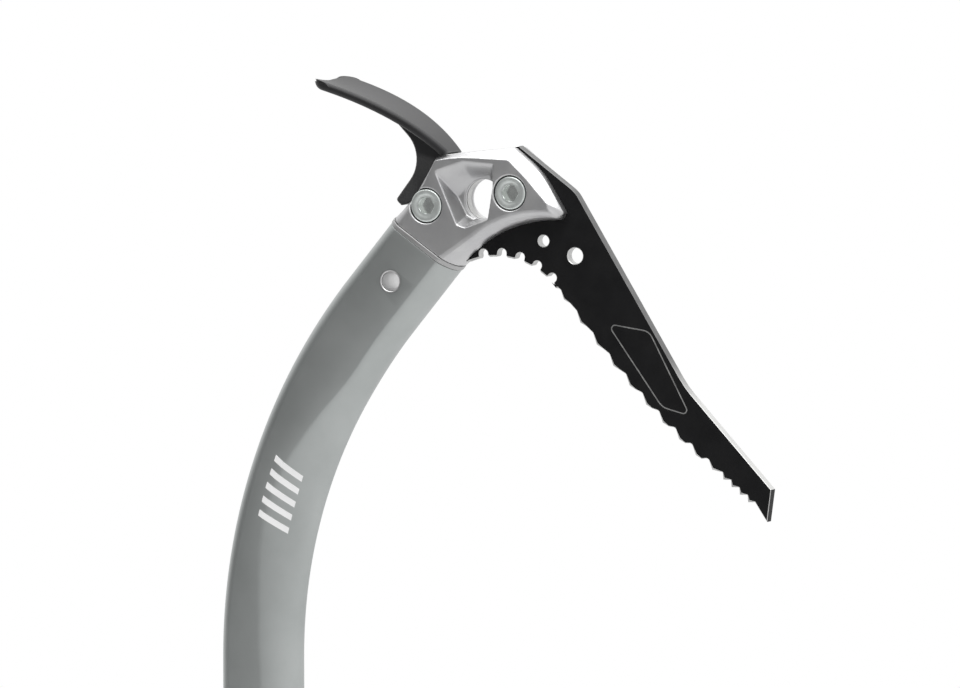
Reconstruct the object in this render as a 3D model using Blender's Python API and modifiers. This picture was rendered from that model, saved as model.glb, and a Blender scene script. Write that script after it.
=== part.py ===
"""A technical ice axe: forged head with a bolted pick and adze, a bent aluminium
shaft, a sliding trigger rest, a folding grip rest and a leashed spike.

Frame: metres, +Z up. The origin is the centre of the carabiner eye in the head, on
the tool's middle plane. +X points to the pick and the tool's thickness lies along Y.
Outlines are drawn in that plane as (x, z) pairs in millimetres.
"""

import math

import bmesh
import bpy
from mathutils import Matrix, Vector

MM = 0.001
GAP = 0.3 * MM  # between pieces that touch
ROUND_STEPS = 24  # sides of a round piece
ARC_STEP = math.radians(18)  # an outline's rounded corner takes one point in this turn

# Shaft: neck, bend and straight handle, measured down from the head's collar.
SHAFT_DEPTH = 32 * MM  # front to rear
SHAFT_WIDTH = 21 * MM
SHAFT_WALL = 1.5 * MM
REAR_ROUND = 6 * MM  # depth of the rounded rear
CREASE_HIGH = 9 * MM  # where the flat side ends and the front rounds off, at the collar
CREASE_LOW = -2 * MM  # the same below the bend
FRONT_SLOPE = 0.2  # inward slope of the sides where they leave the crease
COLLAR = (-23.4 * MM, -16.5 * MM)  # centre of the joint between head and shaft
COLLAR_TILT = math.radians(4.8)  # the joint's plane leans forward by this
NECK_LENGTH = 32 * MM
BEND_RADIUS = 212 * MM
BEND_ANGLE = math.radians(39.7)
STRAIGHT_LENGTH = 263.5 * MM
GASKET_THICK = 1.5 * MM
GASKET_LIP = 0.5 * MM
PLUG_LENGTH = 45 * MM
EYELET_DOWN = 19.4 * MM  # from the collar to the hollow rivet
EYELET_BORE = 3.6 * MM  # radii
EYELET_OUTER = 4.4 * MM

# Head. Its outlines run from the rear end of the joint with the shaft to the front end.
HEAD_WIDTH = SHAFT_WIDTH
HEAD_EDGE_WIDTH = 12 * MM  # width left between the bevelled edges
EYE_RADIUS = 7.7  # this and the outlines below are in millimetres
SCOOP_DEPTH = 6.2 * MM
COLLAR_CORNER = 0.4
HEAD_EDGE = [
    (-27.7, 0.1, 10), (-18.5, 15.8, 1.5), (-8.0, 17.6, 20), (12.9, 19.8, 1.2),
    (24.1, 10.9, 35), (33.6, -4.2, 1.5), (32.0, -6.9, 1.2), (8.2, -8.4, 50),
]
HEAD_FACE = [
    (-25.2, -0.6, 8), (-17.5, 14.7, 1.0), (-8.0, 16.3, 20), (12.6, 15.4, 1.5),
    (19.8, 8.6, 25), (28.6, -0.8, 1.0), (27.8, -2.8, 0.8), (10.0, -3.8, 40),
]
SLOT = [
    (60, 30), (11.5, 30), (11.5, 15.6), (-12.0, 13.8), (-19.5, 12.6), (-34, 16),
    (-44, 4), (-29.5, -1.6), (-28.4, -7.2), (-8.2, -23.6), (0, -36), (60, -36),
]
EYE_FLAT = (math.radians(49), math.radians(150))  # the eye's flat, by angles from straight up
SCOOP_RIM = [(-17.7, 10.9), (-8.6, -9.6), (-5.2, -10.6), (4.1, -7.2), (6.2, 5.2), (6.9, 14.2)]
SCOOP_FLOOR = [(-10.5, 0.5), (-6.8, -6.0), (-4.2, -7.6), (4.0, -7.0), (5.9, 4.0), (3.5, 6.8)]

# Bolts along Y: rear and front, with their nuts in the far cheek.
BOLTS = {"rear": (-21.2 * MM, -2.5 * MM), "front": (13.2 * MM, 3.0 * MM)}
BOLT_SHANK = 3.0 * MM  # radii
BOLT_HEAD = 6.3 * MM
BOLT_SEAT = 5.5 * MM  # distance of each seat from the middle plane
BOLT_SUNK = 0.3 * MM  # how far a bolt head and a nut lie below the cheek
BOLT_RECESS = BOLT_HEAD + 0.7 * MM
WASHER_THICK = 0.8 * MM
HEX_ACROSS = 6 * MM
NUT_HEX_ACROSS = 8 * MM
HEX_DEEP = 2.4 * MM

# Pick.
PICK_THICK = 4.3 * MM
SLOT_WIDTH = PICK_THICK + 2 * GAP
PICK_TOP = [(11.9, 15.2, 0), (11.9, 20.2, 0), (13.4, 20.3, 0.5), (36.4, 3.5, 4), (80.9, -68.6, 40)]
PICK_NOSE = [(115.9, -106.0), (114.3, -118.1), (109.4, -110.8)]
PICK_HEEL = (-7.6, -23.2)  # where the lower edge goes into the head
PICK_HOLES = [(23.6, -15.2, 2.2), (36.5, -20.5, 3.07)]
LAP_X = -11.5  # behind this the pick's tang is half as thick, and the adze's lies beside it
PICK_TANG = [(-25.5, -8.7, 2), (-27.0, -5.5, 2), (-27.0, 0.5, 3), (-20.0, 6.2, 3), (LAP_X, 6.6, 0),
             (LAP_X, 13.3, 1)]
BELLY_CENTRE = (4.5, -53.4)  # arc of the pick's lower edge below the head
BELLY_RADIUS = 31.8
BELLY_FROM, BELLY_TO = math.radians(-22.0), math.radians(50.0)
BELLY_NOTCHES = 5
NOTCH_HALF, NOTCH_DEEP = 1.75, 3.0
TOOTH_PITCH = 6.7
MAIN_TEETH = 9
FIRST_TOOTH_X = 91.9
TOOTH_RISE = (1.2, 4.4)  # from a tooth's tip back and up to its gullet
END_TEETH = 4
END_TOOTH = (106.4, -111.0)
END_PITCH = (3.35, 2.72)
END_TOOTH_RISE = 2.8

# Adze.
ADZE_ROOT, ADZE_BEND, ADZE_TIP = (-13.5, 17.5), (-31.0, 35.6), (-65.6, 45.0)
ADZE_THICK = 2.5
ADZE_EDGE_THICK = 1.0
ADZE_ROOT_HALF, ADZE_TIP_HALF = 7.0, 16.0
ADZE_GROOVE = 1.3  # at the tip
ADZE_CORNER = 2.5
WEB_THICK = 6 * MM
WEB_BACK = [(-24.4, 15.6, 13), (-36.9, -1.0, 1.2), (-34.6, -3.1, 0.8), (-28.0, -1.0, 0), (-16, 12, 0)]
ADZE_TANG_END = LAP_X - 1.1
ADZE_TANG = [(-25.5, 11.9, 0), (ADZE_TANG_END, 12.8, 1), (ADZE_TANG_END, -7.5, 1), (-19.0, -11.8, 2),
             (-26.0, -7.6, 2), (-28.6, -0.2, 0), (-31.0, 3.0, 0)]
HEAD_CLEARANCE = 0.35

# Handle, measured up from the shaft's lower end.
GRIP_FROM, GRIP_TO = 6 * MM, 134 * MM
GRIP_CORE_WALL = 1.2 * MM
GRIP_COVER_WALL = 2.2 * MM
GRIP_END_RING = 2.2 * MM
FINGER_WAVES = 4
FINGER_SWELL = 1.6 * MM
CAP_PLUG = 40 * MM
CAP_FLANGE = 7.2 * MM
CAP_GROW = 1.5 * MM
EAR_ROOT_AHEAD = 1.3 * MM  # of the crease, where the cap is still wider than its ears
SPIKE_THICK = 5 * MM
SPIKE_TANG_HALF = 8 * MM
SPIKE_TANG_RISE = 36 * MM
SPIKE_REACH = 41 * MM  # point below the shaft's end
LEASH_EYE_DOWN = 20 * MM
LEASH_EYE_RADIUS = 6 * MM
SPIKE_HALF = 12 * MM
PIN_RADIUS = 2.0 * MM
PIN_HEIGHTS = {"lower": 10 * MM, "upper": 26 * MM}

# Grip rest and its clevis on the end cap.
REST_KNUCKLE = 4.1 * MM  # radii
REST_EAR = REST_KNUCKLE + 0.8 * MM
REST_PIVOT_AHEAD = SHAFT_DEPTH / 2 + CAP_GROW + REST_EAR + 3.8 * MM  # of the shaft's axis
REST_PIVOT_DOWN = CAP_FLANGE - REST_KNUCKLE  # below the shaft's end
REST_KNUCKLE_WIDTH = 10 * MM
EAR_THICK = 3 * MM
REST_LENGTH = 40 * MM
REST_WIDTH = 19 * MM
REST_THICK = 5.4 * MM
AXLE_RADIUS = 2.0 * MM
AXLE_HEAD = AXLE_RADIUS + 1.1 * MM
SPRING_THICK = 0.6 * MM
SPRING_WIDTH = 8 * MM

# Trigger rest on the straight shaft.
TRIGGER_HIGH = 18 * MM
TRIGGER_UP = GRIP_TO + 12 * MM + TRIGGER_HIGH / 2  # above the shaft's lower end
LINER_WALL = 1.0 * MM
TRIGGER_WALL = 3.0 * MM
HORN_WIDTH = 12 * MM
LEVER_KNUCKLE = 3.6 * MM
LEVER_EAR = LEVER_KNUCKLE + 0.6 * MM
TRIGGER_INNER = GAP + LINER_WALL + GAP  # how much bigger than the shaft the ring's bore is
TRIGGER_OUTER = TRIGGER_INNER + TRIGGER_WALL
LEVER_PIVOT_BEHIND = SHAFT_DEPTH / 2 + TRIGGER_OUTER + LEVER_EAR + 0.6 * MM
LEVER_WIDTH = 8 * MM
LEVER_LENGTH = 26 * MM
LEVER_THICK = 3.4 * MM
LEVER_AXLE = 1.6 * MM
PAD_MARGIN = 0.5 * MM
HORN_OUTLINE = [
    (-1.6, 8, 0), (4, 7.5, 5), (14, 1.5, 8), (26, 4.0, 3), (27.5, 8.0, 2), (31, 7.2, 2), (30.5, -1.5, 6),
    (14, -7.5, 12), (-1.6, -8.5, 0),
]
PAD_OUTLINE = [(7.2, 6.4), (14.2, 2.6), (24.6, 4.6), (24.2, 6.6), (14.6, 4.6), (8.4, 8.0)]

# What follows from the sizes above.
BEND_TOP = (
    COLLAR[0] - NECK_LENGTH * math.sin(BEND_ANGLE),
    COLLAR[1] - NECK_LENGTH * math.cos(BEND_ANGLE),
)
SHAFT_X = BEND_TOP[0] - BEND_RADIUS * (1 - math.cos(BEND_ANGLE))
BEND_FOOT_Z = BEND_TOP[1] - BEND_RADIUS * math.sin(BEND_ANGLE)
BEND_LENGTH = BEND_RADIUS * BEND_ANGLE
SHAFT_LENGTH = NECK_LENGTH + BEND_LENGTH + STRAIGHT_LENGTH
SHAFT_TOP = GAP + GASKET_THICK + GAP  # the shaft starts this far below the collar
SHAFT_END_Z = BEND_FOOT_Z - STRAIGHT_LENGTH
INSIDE = -SHAFT_WALL - GAP  # what fits in the shaft is smaller by this


# --- objects, materials and modifiers ---------------------------------------------


def clear_scene():
    for obj in list(bpy.data.objects):
        bpy.data.objects.remove(obj)


def new_collection(name):
    collection = bpy.data.collections.new(name)
    bpy.context.scene.collection.children.link(collection)
    return collection


def material(name, colour, roughness, metallic=0.0):
    finish = bpy.data.materials.new(name)
    finish.use_nodes = True
    shader = finish.node_tree.nodes["Principled BSDF"]
    shader.inputs["Base Color"].default_value = (*colour, 1)
    shader.inputs["Roughness"].default_value = roughness
    shader.inputs["Metallic"].default_value = metallic
    return finish


def mesh_object(name, bm):
    bmesh.ops.remove_doubles(bm, verts=bm.verts, dist=1e-6)
    bmesh.ops.recalc_face_normals(bm, faces=bm.faces)
    mesh = bpy.data.meshes.new(name)
    bm.to_mesh(mesh)
    bm.free()
    return bpy.data.objects.new(name, mesh)


def node(obj, finish, smooth=True):
    """Makes the object a piece of the axe."""
    AXE.objects.link(obj)
    obj.data.materials.append(finish)
    if smooth and obj.data.polygons:
        obj.data.shade_smooth()
        obj.data.set_sharp_from_angle(angle=math.radians(35))
    return obj


def combine(target, operation, *others):
    """Cuts the others from the target, or joins them to it, with exact Booleans."""
    for other in others:
        CUTTERS.objects.link(other)
        other.hide_render = True
        other.display_type = "WIRE"
        modifier = target.modifiers.new(other.name, "BOOLEAN")
        modifier.operation = operation
        modifier.object = other
    return target


def cut(target, *cutters):
    return combine(target, "DIFFERENCE", *cutters)


def join(target, *others):
    return combine(target, "UNION", *others)


def pivot(name, x, z):
    """An empty on a joint's axis."""
    empty = bpy.data.objects.new(name, None)
    empty.location = (x, 0, z)
    AXE.objects.link(empty)
    bpy.context.view_layer.update()
    return empty


def hang(empty, *pieces):
    """Makes the pieces, and what cuts or joins them, children of the empty."""
    for piece in pieces:
        shapes = [m.object for m in piece.modifiers if m.type == "BOOLEAN"]
        for obj in [piece, *shapes]:
            obj.parent = empty
            obj.matrix_parent_inverse = empty.matrix_world.inverted()


# --- shapes --------------------------------------------------------------------------


def rod(name, radius, x, z, near, far, sides=ROUND_STEPS):
    """A cylinder along Y, from Y = near to Y = far."""
    bm = bmesh.new()
    bmesh.ops.create_cone(bm, cap_ends=True, segments=sides, radius1=radius, radius2=radius,
                          depth=far - near)
    bmesh.ops.rotate(bm, verts=bm.verts, matrix=Matrix.Rotation(math.pi / 2, 3, "X"))
    bmesh.ops.translate(bm, verts=bm.verts, vec=(x, (near + far) / 2, z))
    return mesh_object(name, bm)


def hexagon(name, across, x, z, near, far):
    return rod(name, across / math.sqrt(3), x, z, near, far, sides=6)


def block(name, low, high):
    bm = bmesh.new()
    bmesh.ops.create_cube(bm, size=1)
    size = Vector(high) - Vector(low)
    bmesh.ops.scale(bm, verts=bm.verts, vec=size)
    bmesh.ops.translate(bm, verts=bm.verts, vec=Vector(low) + size / 2)
    return mesh_object(name, bm)


def turned(name, profile, x, z, closed=False, steps=ROUND_STEPS):
    """Turns (radius, y) pairs about an axis along Y. The outer side runs from near to far."""
    mesh = bpy.data.meshes.new(name)
    points = [(radius, 0, -y) for radius, y in profile]
    edges = [(i, i + 1) for i in range(len(points) - 1)]
    if closed:
        edges.append((len(points) - 1, 0))
    mesh.from_pydata(points, edges, [])
    obj = bpy.data.objects.new(name, mesh)
    obj.location = (x, 0, z)
    obj.rotation_euler.x = math.pi / 2
    screw = obj.modifiers.new("turn", "SCREW")
    screw.steps = screw.render_steps = steps
    screw.use_merge_vertices = True
    screw.merge_threshold = 1e-5
    screw.use_smooth_shade = True
    return obj


def loft(name, rings, around=False):
    """A skin over rings of equally many points. It ends in caps, or joins up around."""
    bm = bmesh.new()
    rows = [[bm.verts.new(point) for point in ring] for ring in rings]
    pairs = list(zip(rows, rows[1:]))
    if around:
        pairs.append((rows[-1], rows[0]))
    else:
        bm.faces.new(rows[0])
        bm.faces.new(rows[-1])
    for low, high in pairs:
        for i in range(len(low)):
            bm.faces.new((low[i - 1], low[i], high[i], high[i - 1]))
    return mesh_object(name, bm)


def rounded(corners, segments=None):
    """(x, z) points of an outline whose corners (x, z, radius) are rounded by arcs."""
    points = []
    for i, (x, z, radius) in enumerate(corners):
        corner = Vector((x, z))
        if not radius:
            points.append(corner)
            continue
        back = (Vector(corners[i - 1][:2]) - corner).normalized()
        ahead = (Vector(corners[(i + 1) % len(corners)][:2]) - corner).normalized()
        half = back.angle(ahead) / 2
        centre = corner + (back + ahead).normalized() * radius / math.sin(half)
        start = corner + back * radius / math.tan(half) - centre
        turn = (math.pi - 2 * half) * (1 if back.cross(ahead) < 0 else -1)
        count = segments or max(2, math.ceil(abs(turn) / ARC_STEP))
        for k in range(count + 1):
            angle = turn * k / count
            spoke = Matrix.Rotation(angle, 2) @ start
            points.append(centre + spoke)
    return [(p.x, p.y) if isinstance(p, Vector) else p for p in points]


def arc(centre, radius, start, end, count):
    """Points of a circle, by angles measured from straight up towards +x."""
    angles = [start + (end - start) * i / count for i in range(count + 1)]
    return [(centre[0] + radius * math.sin(a), centre[1] + radius * math.cos(a)) for a in angles]


def scaled(outline, factor=MM):
    return [(x * factor, z * factor) for x, z in outline]


def plate(name, loops, near, far):
    """Flat outlines in the XZ plane, filled from Y = near to Y = far. Inner loops are holes."""
    curve = bpy.data.curves.new(name, "CURVE")
    curve.dimensions = "2D"
    curve.fill_mode = "BOTH"
    curve.extrude = (far - near) / 2
    for loop in loops:
        spline = curve.splines.new("POLY")
        spline.points.add(len(loop) - 1)
        for point, (x, z) in zip(spline.points, loop):
            point.co = (x, z, 0, 1)
        spline.use_cyclic_u = True
    flat = bpy.data.objects.new(name + "_outline", curve)
    flat.location.y = (near + far) / 2
    flat.rotation_euler.x = math.pi / 2
    CUTTERS.objects.link(flat)
    graph = bpy.context.evaluated_depsgraph_get()
    graph.update()
    filled = bpy.data.meshes.new_from_object(flat.evaluated_get(graph))
    bm = bmesh.new()
    bm.from_mesh(filled)
    bmesh.ops.transform(bm, matrix=flat.matrix_world, verts=bm.verts)
    bpy.data.objects.remove(flat)
    bpy.data.meshes.remove(filled)
    return mesh_object(name, bm)


def circle(x, z, radius, count=ROUND_STEPS):
    return arc((x, z), radius, 0, 2 * math.pi, count)[:-1]


# --- the shaft's path and section ----------------------------------------------------


def shaft_place(down):
    """Centre (x, z) of the shaft and its lean from vertical, this far below the collar."""
    if down <= NECK_LENGTH:
        x = COLLAR[0] - down * math.sin(BEND_ANGLE)
        return x, COLLAR[1] - down * math.cos(BEND_ANGLE), BEND_ANGLE
    lean = BEND_ANGLE - (down - NECK_LENGTH) / BEND_RADIUS
    if lean <= 0:
        return SHAFT_X, BEND_FOOT_Z + NECK_LENGTH + BEND_LENGTH - down, 0.0
    x = SHAFT_X + BEND_RADIUS * (1 - math.cos(lean))
    return x, BEND_FOOT_Z + BEND_RADIUS * math.sin(lean), lean


def crease_at(down):
    """How far in front of the shaft's centre line its crease is. It moves rearward down the bend."""
    share = min(1, max(0, down / (NECK_LENGTH + BEND_LENGTH)))
    return CREASE_HIGH + (CREASE_LOW - CREASE_HIGH) * share


def front_width(turn, length, wide):
    """Half width at this turn of the front curve, whose length is from crease to front edge."""
    return (wide - FRONT_SLOPE * length * math.sin(turn)) * math.cos(turn)


def width_at(down, depth):
    """Half of the shaft's width this far in front of its centre line."""
    crease = crease_at(down)
    length = SHAFT_DEPTH / 2 - crease
    if depth <= crease:
        return SHAFT_WIDTH / 2
    return front_width(math.asin((depth - crease) / length), length, SHAFT_WIDTH / 2)


def shaft_section(down, grow, swell=0.0, steps=5):
    """Ring of (depth, width) pairs. The flat side ends at a crease."""
    crease = crease_at(down)
    rear = REAR_ROUND - SHAFT_DEPTH / 2
    deep = SHAFT_DEPTH / 2 + grow
    wide = SHAFT_WIDTH / 2 + grow
    turns = [math.pi / 2 * i / steps for i in range(steps + 1)]
    half = [(rear - (deep + rear) * math.cos(t), wide * math.sin(t)) for t in turns]
    length = deep - crease
    front = [(crease + (length + swell) * math.sin(t), front_width(t, length, wide)) for t in turns]
    half += front
    return half + [(depth, -width) for depth, width in reversed(half[1:-1])]


def shaft_ring(down, grow, swell=0.0):
    """The shaft's section in place, all round bigger by grow and at its front by swell."""
    x, z, lean = shaft_place(down)
    tilt = math.tan(COLLAR_TILT) * min(1, max(0, 1 - down / NECK_LENGTH))
    ring = []
    for depth, width in shaft_section(down, grow, swell):
        along = depth * tilt
        ring.append((
            x + depth * math.cos(lean) + along * math.sin(lean),
            width,
            z - depth * math.sin(lean) + along * math.cos(lean),
        ))
    return ring


def from_end(up):
    """Distance below the collar of a place this far above the shaft's lower end."""
    return SHAFT_LENGTH - up


def path_stations(start, end):
    """Distances at which the shaft's path needs a ring: close together in the bend only."""
    bend = [NECK_LENGTH + BEND_LENGTH * i / 12 for i in range(13)]
    return [start, *[s for s in bend if start < s < end], end]


def sleeve(name, start, end, inner, outer):
    """A tube around the shaft's path between two distances below the collar."""
    stations = path_stations(start, end)
    rings = [shaft_ring(s, outer) for s in stations]
    rings += [shaft_ring(s, inner) for s in reversed(stations)]
    return loft(name, rings, around=True)


# --- head, shaft and their joint ------------------------------------------------------


def eye_outline():
    """The carabiner eye: a circle cut flat at the front."""
    top, bottom = EYE_FLAT
    return arc((0, 0), EYE_RADIUS, bottom, top + 2 * math.pi, 20)


def collar_corner(depth):
    """Corner of a head outline on the joint's plane, this far ahead of the shaft's axis."""
    tilt = math.tan(COLLAR_TILT)
    x = COLLAR[0] + depth * (math.cos(BEND_ANGLE) + tilt * math.sin(BEND_ANGLE))
    z = COLLAR[1] - depth * (math.sin(BEND_ANGLE) - tilt * math.cos(BEND_ANGLE))
    return x / MM, z / MM, COLLAR_CORNER


def head_edge():
    """Corners of the head's widest outline, as deep at the joint as the shaft."""
    half = SHAFT_DEPTH / 2
    return [collar_corner(-half), *HEAD_EDGE, collar_corner(half)]


def head_face():
    """Corners of the head's flat side, as deep at the joint as the shaft's flat side."""
    return [collar_corner(REAR_ROUND - SHAFT_DEPTH / 2), *HEAD_FACE, collar_corner(CREASE_HIGH)]


def make_head(steel):
    levels = [
        (-HEAD_WIDTH / 2, head_face()), (-HEAD_EDGE_WIDTH / 2, head_edge()),
        (HEAD_EDGE_WIDTH / 2, head_edge()), (HEAD_WIDTH / 2, head_face()),
    ]
    rings = []
    for y, corners in levels:
        rings.append([(x * MM, y, z * MM) for x, z in rounded(corners, segments=3)])
    head = loft("head", rings)
    plug = loft("head_plug", [shaft_ring(s, INSIDE) for s in path_stations(-3 * MM, PLUG_LENGTH)])
    join(head, plug)
    reach = HEAD_WIDTH / 2 + 2 * MM
    cut(head, plate("head_slot", [scaled(SLOT)], -SLOT_WIDTH / 2, SLOT_WIDTH / 2))
    cut(head, plate("head_eye", [scaled(eye_outline())], -reach, reach))
    for side in (-1, 1):
        rim = [(x * MM, side * (HEAD_WIDTH / 2 + GAP), z * MM) for x, z in SCOOP_RIM]
        floor = [(x * MM, side * (HEAD_WIDTH / 2 - SCOOP_DEPTH), z * MM) for x, z in SCOOP_FLOOR]
        cut(head, loft(f"head_scoop_{side}", [rim, floor]))
    for place, (x, z) in BOLTS.items():
        cut(head, rod(f"{place}_bore", BOLT_SHANK + GAP, x, z, -reach, reach))
        cut(head, rod(f"{place}_near_recess", BOLT_RECESS, x, z, -reach, -BOLT_SEAT))
        cut(head, rod(f"{place}_far_recess", BOLT_RECESS, x, z, BOLT_SEAT, reach))
    x, z, _ = shaft_place(EYELET_DOWN)
    cut(head, rod("plug_bore", EYELET_OUTER + GAP, x, z, -reach, reach))
    return node(head, steel)


def make_shaft(aluminium, rubber, steel):
    node(sleeve("head_gasket", GAP, GAP + GASKET_THICK, -SHAFT_WALL, GASKET_LIP), rubber)
    tube = sleeve("shaft_tube", SHAFT_TOP, SHAFT_LENGTH, -SHAFT_WALL, 0)
    reach = SHAFT_WIDTH / 2 + 2 * MM
    x, z, _ = shaft_place(EYELET_DOWN)
    cut(tube, rod("shaft_bore", EYELET_OUTER + GAP, x, z, -reach, reach))
    for place, up in PIN_HEIGHTS.items():
        bore = rod(f"{place}_pin_bore", PIN_RADIUS + GAP, SHAFT_X, SHAFT_END_Z + up, -reach, reach)
        cut(tube, bore)
    node(tube, aluminium)
    side = SHAFT_WIDTH / 2
    profile = [(EYELET_OUTER, -side), (EYELET_OUTER, side), (EYELET_BORE, side), (EYELET_BORE, -side)]
    node(turned("shaft_eyelet", profile, x, z, closed=True), steel)


def make_bolts(steel):
    """In each place a washer and a bolt in the near recess, and a nut in the far one."""
    top = HEAD_WIDTH / 2 - BOLT_SUNK
    washer_near = BOLT_SEAT + GAP + WASHER_THICK
    under_head = washer_near + GAP
    bore = BOLT_SHANK + GAP
    rim = 0.6 * MM
    for place, (x, z) in BOLTS.items():
        ring = [(BOLT_HEAD, -washer_near), (BOLT_HEAD, -BOLT_SEAT - GAP), (bore, -BOLT_SEAT - GAP),
                (bore, -washer_near)]
        node(turned(f"{place}_washer", ring, x, z, closed=True), steel)
        shank_end = top - HEX_DEEP - GAP
        profile = [(0, -top), (BOLT_HEAD - rim, -top), (BOLT_HEAD, rim - top), (BOLT_HEAD, -under_head),
                   (BOLT_SHANK, -under_head), (BOLT_SHANK, shank_end), (0, shank_end)]
        bolt = turned(f"{place}_bolt", profile, x, z)
        socket = hexagon(f"{place}_socket", HEX_ACROSS, x, z, -top - GAP, HEX_DEEP - top)
        node(cut(bolt, socket), steel, smooth=False)
        seat = BOLT_SEAT + GAP
        barrel = [(bore, seat), (BOLT_HEAD, seat), (BOLT_HEAD, top - rim), (BOLT_HEAD - rim, top),
                  (bore, top)]
        nut = turned(f"{place}_nut", barrel, x, z, closed=True)
        socket = hexagon(f"{place}_nut_socket", NUT_HEX_ACROSS, x, z, top - HEX_DEEP, top + GAP)
        node(cut(nut, socket), steel, smooth=False)


# --- blades ---------------------------------------------------------------------------


def tooth_line(x):
    """Height of the line through the main teeth's tips."""
    off = x - 58.9
    return -69.3 - 1.058 * off + 0.004525 * off * off


def belly():
    """The pick's lower edge below the head: an arc with round-ended notches."""
    points = []
    pitch = (BELLY_TO - BELLY_FROM) / (BELLY_NOTCHES + 0.5)
    for i in range(BELLY_NOTCHES):
        middle = BELLY_FROM + pitch * (i + 0.95)
        half = NOTCH_HALF / BELLY_RADIUS
        start = middle - pitch + half if i else BELLY_FROM
        points += arc(BELLY_CENTRE, BELLY_RADIUS, start, middle - half, 3)
        outward = Vector((math.sin(middle), math.cos(middle)))
        across = Vector((math.cos(middle), -math.sin(middle)))
        centre = Vector(BELLY_CENTRE) + outward * (BELLY_RADIUS + NOTCH_DEEP - NOTCH_HALF)
        for k in range(7):
            turn = math.pi * k / 6
            spoke = -across * math.cos(turn) + outward * math.sin(turn)
            points.append(tuple(centre + spoke * NOTCH_HALF))
    last = BELLY_FROM + pitch * (BELLY_NOTCHES - 0.05) + half
    return points + arc(BELLY_CENTRE, BELLY_RADIUS, last, BELLY_TO, 2)


def main_teeth():
    points = []
    for i in reversed(range(MAIN_TEETH + 1)):
        x = FIRST_TOOTH_X - TOOTH_PITCH * i
        tip = (x, tooth_line(x))
        points += [(tip[0] - TOOTH_RISE[0], tip[1] + TOOTH_RISE[1]), tip]
    return points


def end_teeth():
    points = []
    for i in reversed(range(END_TEETH)):
        x = END_TOOTH[0] - END_PITCH[0] * i
        z = END_TOOTH[1] + END_PITCH[1] * i
        points += [(x, z + END_TOOTH_RISE), (x, z)]
    return points


def make_pick(steel):
    lower = belly() + main_teeth() + end_teeth()
    sharp = [(x, z, 0) for x, z in PICK_NOSE + lower[::-1] + [PICK_HEEL]]
    outline = rounded(PICK_TOP + sharp + PICK_TANG)
    half = PICK_THICK / 2
    holes = [scaled(circle(x, z, r, 16)) for x, z, r in PICK_HOLES]
    holes += [circle(x, z, BOLT_SHANK + GAP, 16) for x, z in BOLTS.values()]
    pick = plate("pick", [scaled(outline), scaled(eye_outline()), *holes], -half, half)
    lap = block("pick_lap", (-40 * MM, GAP / -2, -40 * MM), (LAP_X * MM, half + GAP, 30 * MM))
    return node(cut(pick, lap), steel)


def blade_place(t):
    """Top of the adze's blade at t from root to tip, and the direction square to it."""
    start, bend, end = Vector(ADZE_ROOT), Vector(ADZE_BEND), Vector(ADZE_TIP)
    point = start * (1 - t) ** 2 + bend * 2 * t * (1 - t) + end * t * t
    along = ((bend - start) * (1 - t) + (end - bend) * t).normalized()
    return point, Vector((-along.y, along.x)) * -1


def adze_ring(t, columns=8):
    """Section across the blade: grooved along its middle, thin at the cutting edge."""
    point, square = blade_place(t)
    half = ADZE_ROOT_HALF + (ADZE_TIP_HALF - ADZE_ROOT_HALF) * t
    from_tip = (1 - t) * math.dist(ADZE_ROOT, ADZE_TIP)
    if from_tip < ADZE_CORNER:
        half -= ADZE_CORNER - math.sqrt(ADZE_CORNER ** 2 - (ADZE_CORNER - from_tip) ** 2)
    thick = min(ADZE_THICK, ADZE_EDGE_THICK + from_tip * 0.5)
    top, bottom = [], []
    for i in range(columns + 1):
        share = 2 * i / columns - 1
        height = -ADZE_GROOVE * t * t * (1 - share * share)
        for row, drop in ((top, 0), (bottom, thick)):
            x, z = point + square * (height - drop)
            row.append((x * MM, half * share * MM, z * MM))
    return top + bottom[::-1]


def make_adze(steel):
    stations = [0, 0.12, 0.25, 0.4, 0.55, 0.7, 0.85, 0.95, 0.98, 1]
    adze = loft("adze", [adze_ring(t) for t in stations])
    spine = []
    for t in (0.06, 0.3, 0.62):
        point, square = blade_place(t)
        x, z = point - square * (ADZE_GROOVE * t * t + ADZE_THICK / 2)
        spine.append((x, z, 0))
    web = plate("adze_web", [scaled(rounded(spine + WEB_BACK))], -WEB_THICK / 2, WEB_THICK / 2)
    join(adze, web)
    around_head = head_clearance_outline()
    wide = 2 * ADZE_TIP_HALF * MM
    cut(adze, plate("adze_head_clearance", [scaled(around_head)], -wide, wide))
    inner = GAP / 2
    tang = plate("adze_tang", [scaled(rounded(ADZE_TANG))], inner, PICK_THICK / 2)
    join(adze, tang)
    x, z = BOLTS["rear"]
    cut(adze, rod("adze_bore", BOLT_SHANK + GAP, x, z, -WEB_THICK, WEB_THICK))
    return node(adze, steel)


def head_clearance_outline():
    """The head's edge, moved out all round."""
    edge = [Vector(p) for p in rounded(head_edge(), segments=3)]
    moved = []
    for i, point in enumerate(edge):
        back = (point - edge[i - 1]).normalized()
        ahead = (edge[(i + 1) % len(edge)] - point).normalized()
        along = (back + ahead).normalized()
        moved.append(tuple(point + Vector((-along.y, along.x)) * HEAD_CLEARANCE))
    return moved


# --- handle -----------------------------------------------------------------------------


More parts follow.
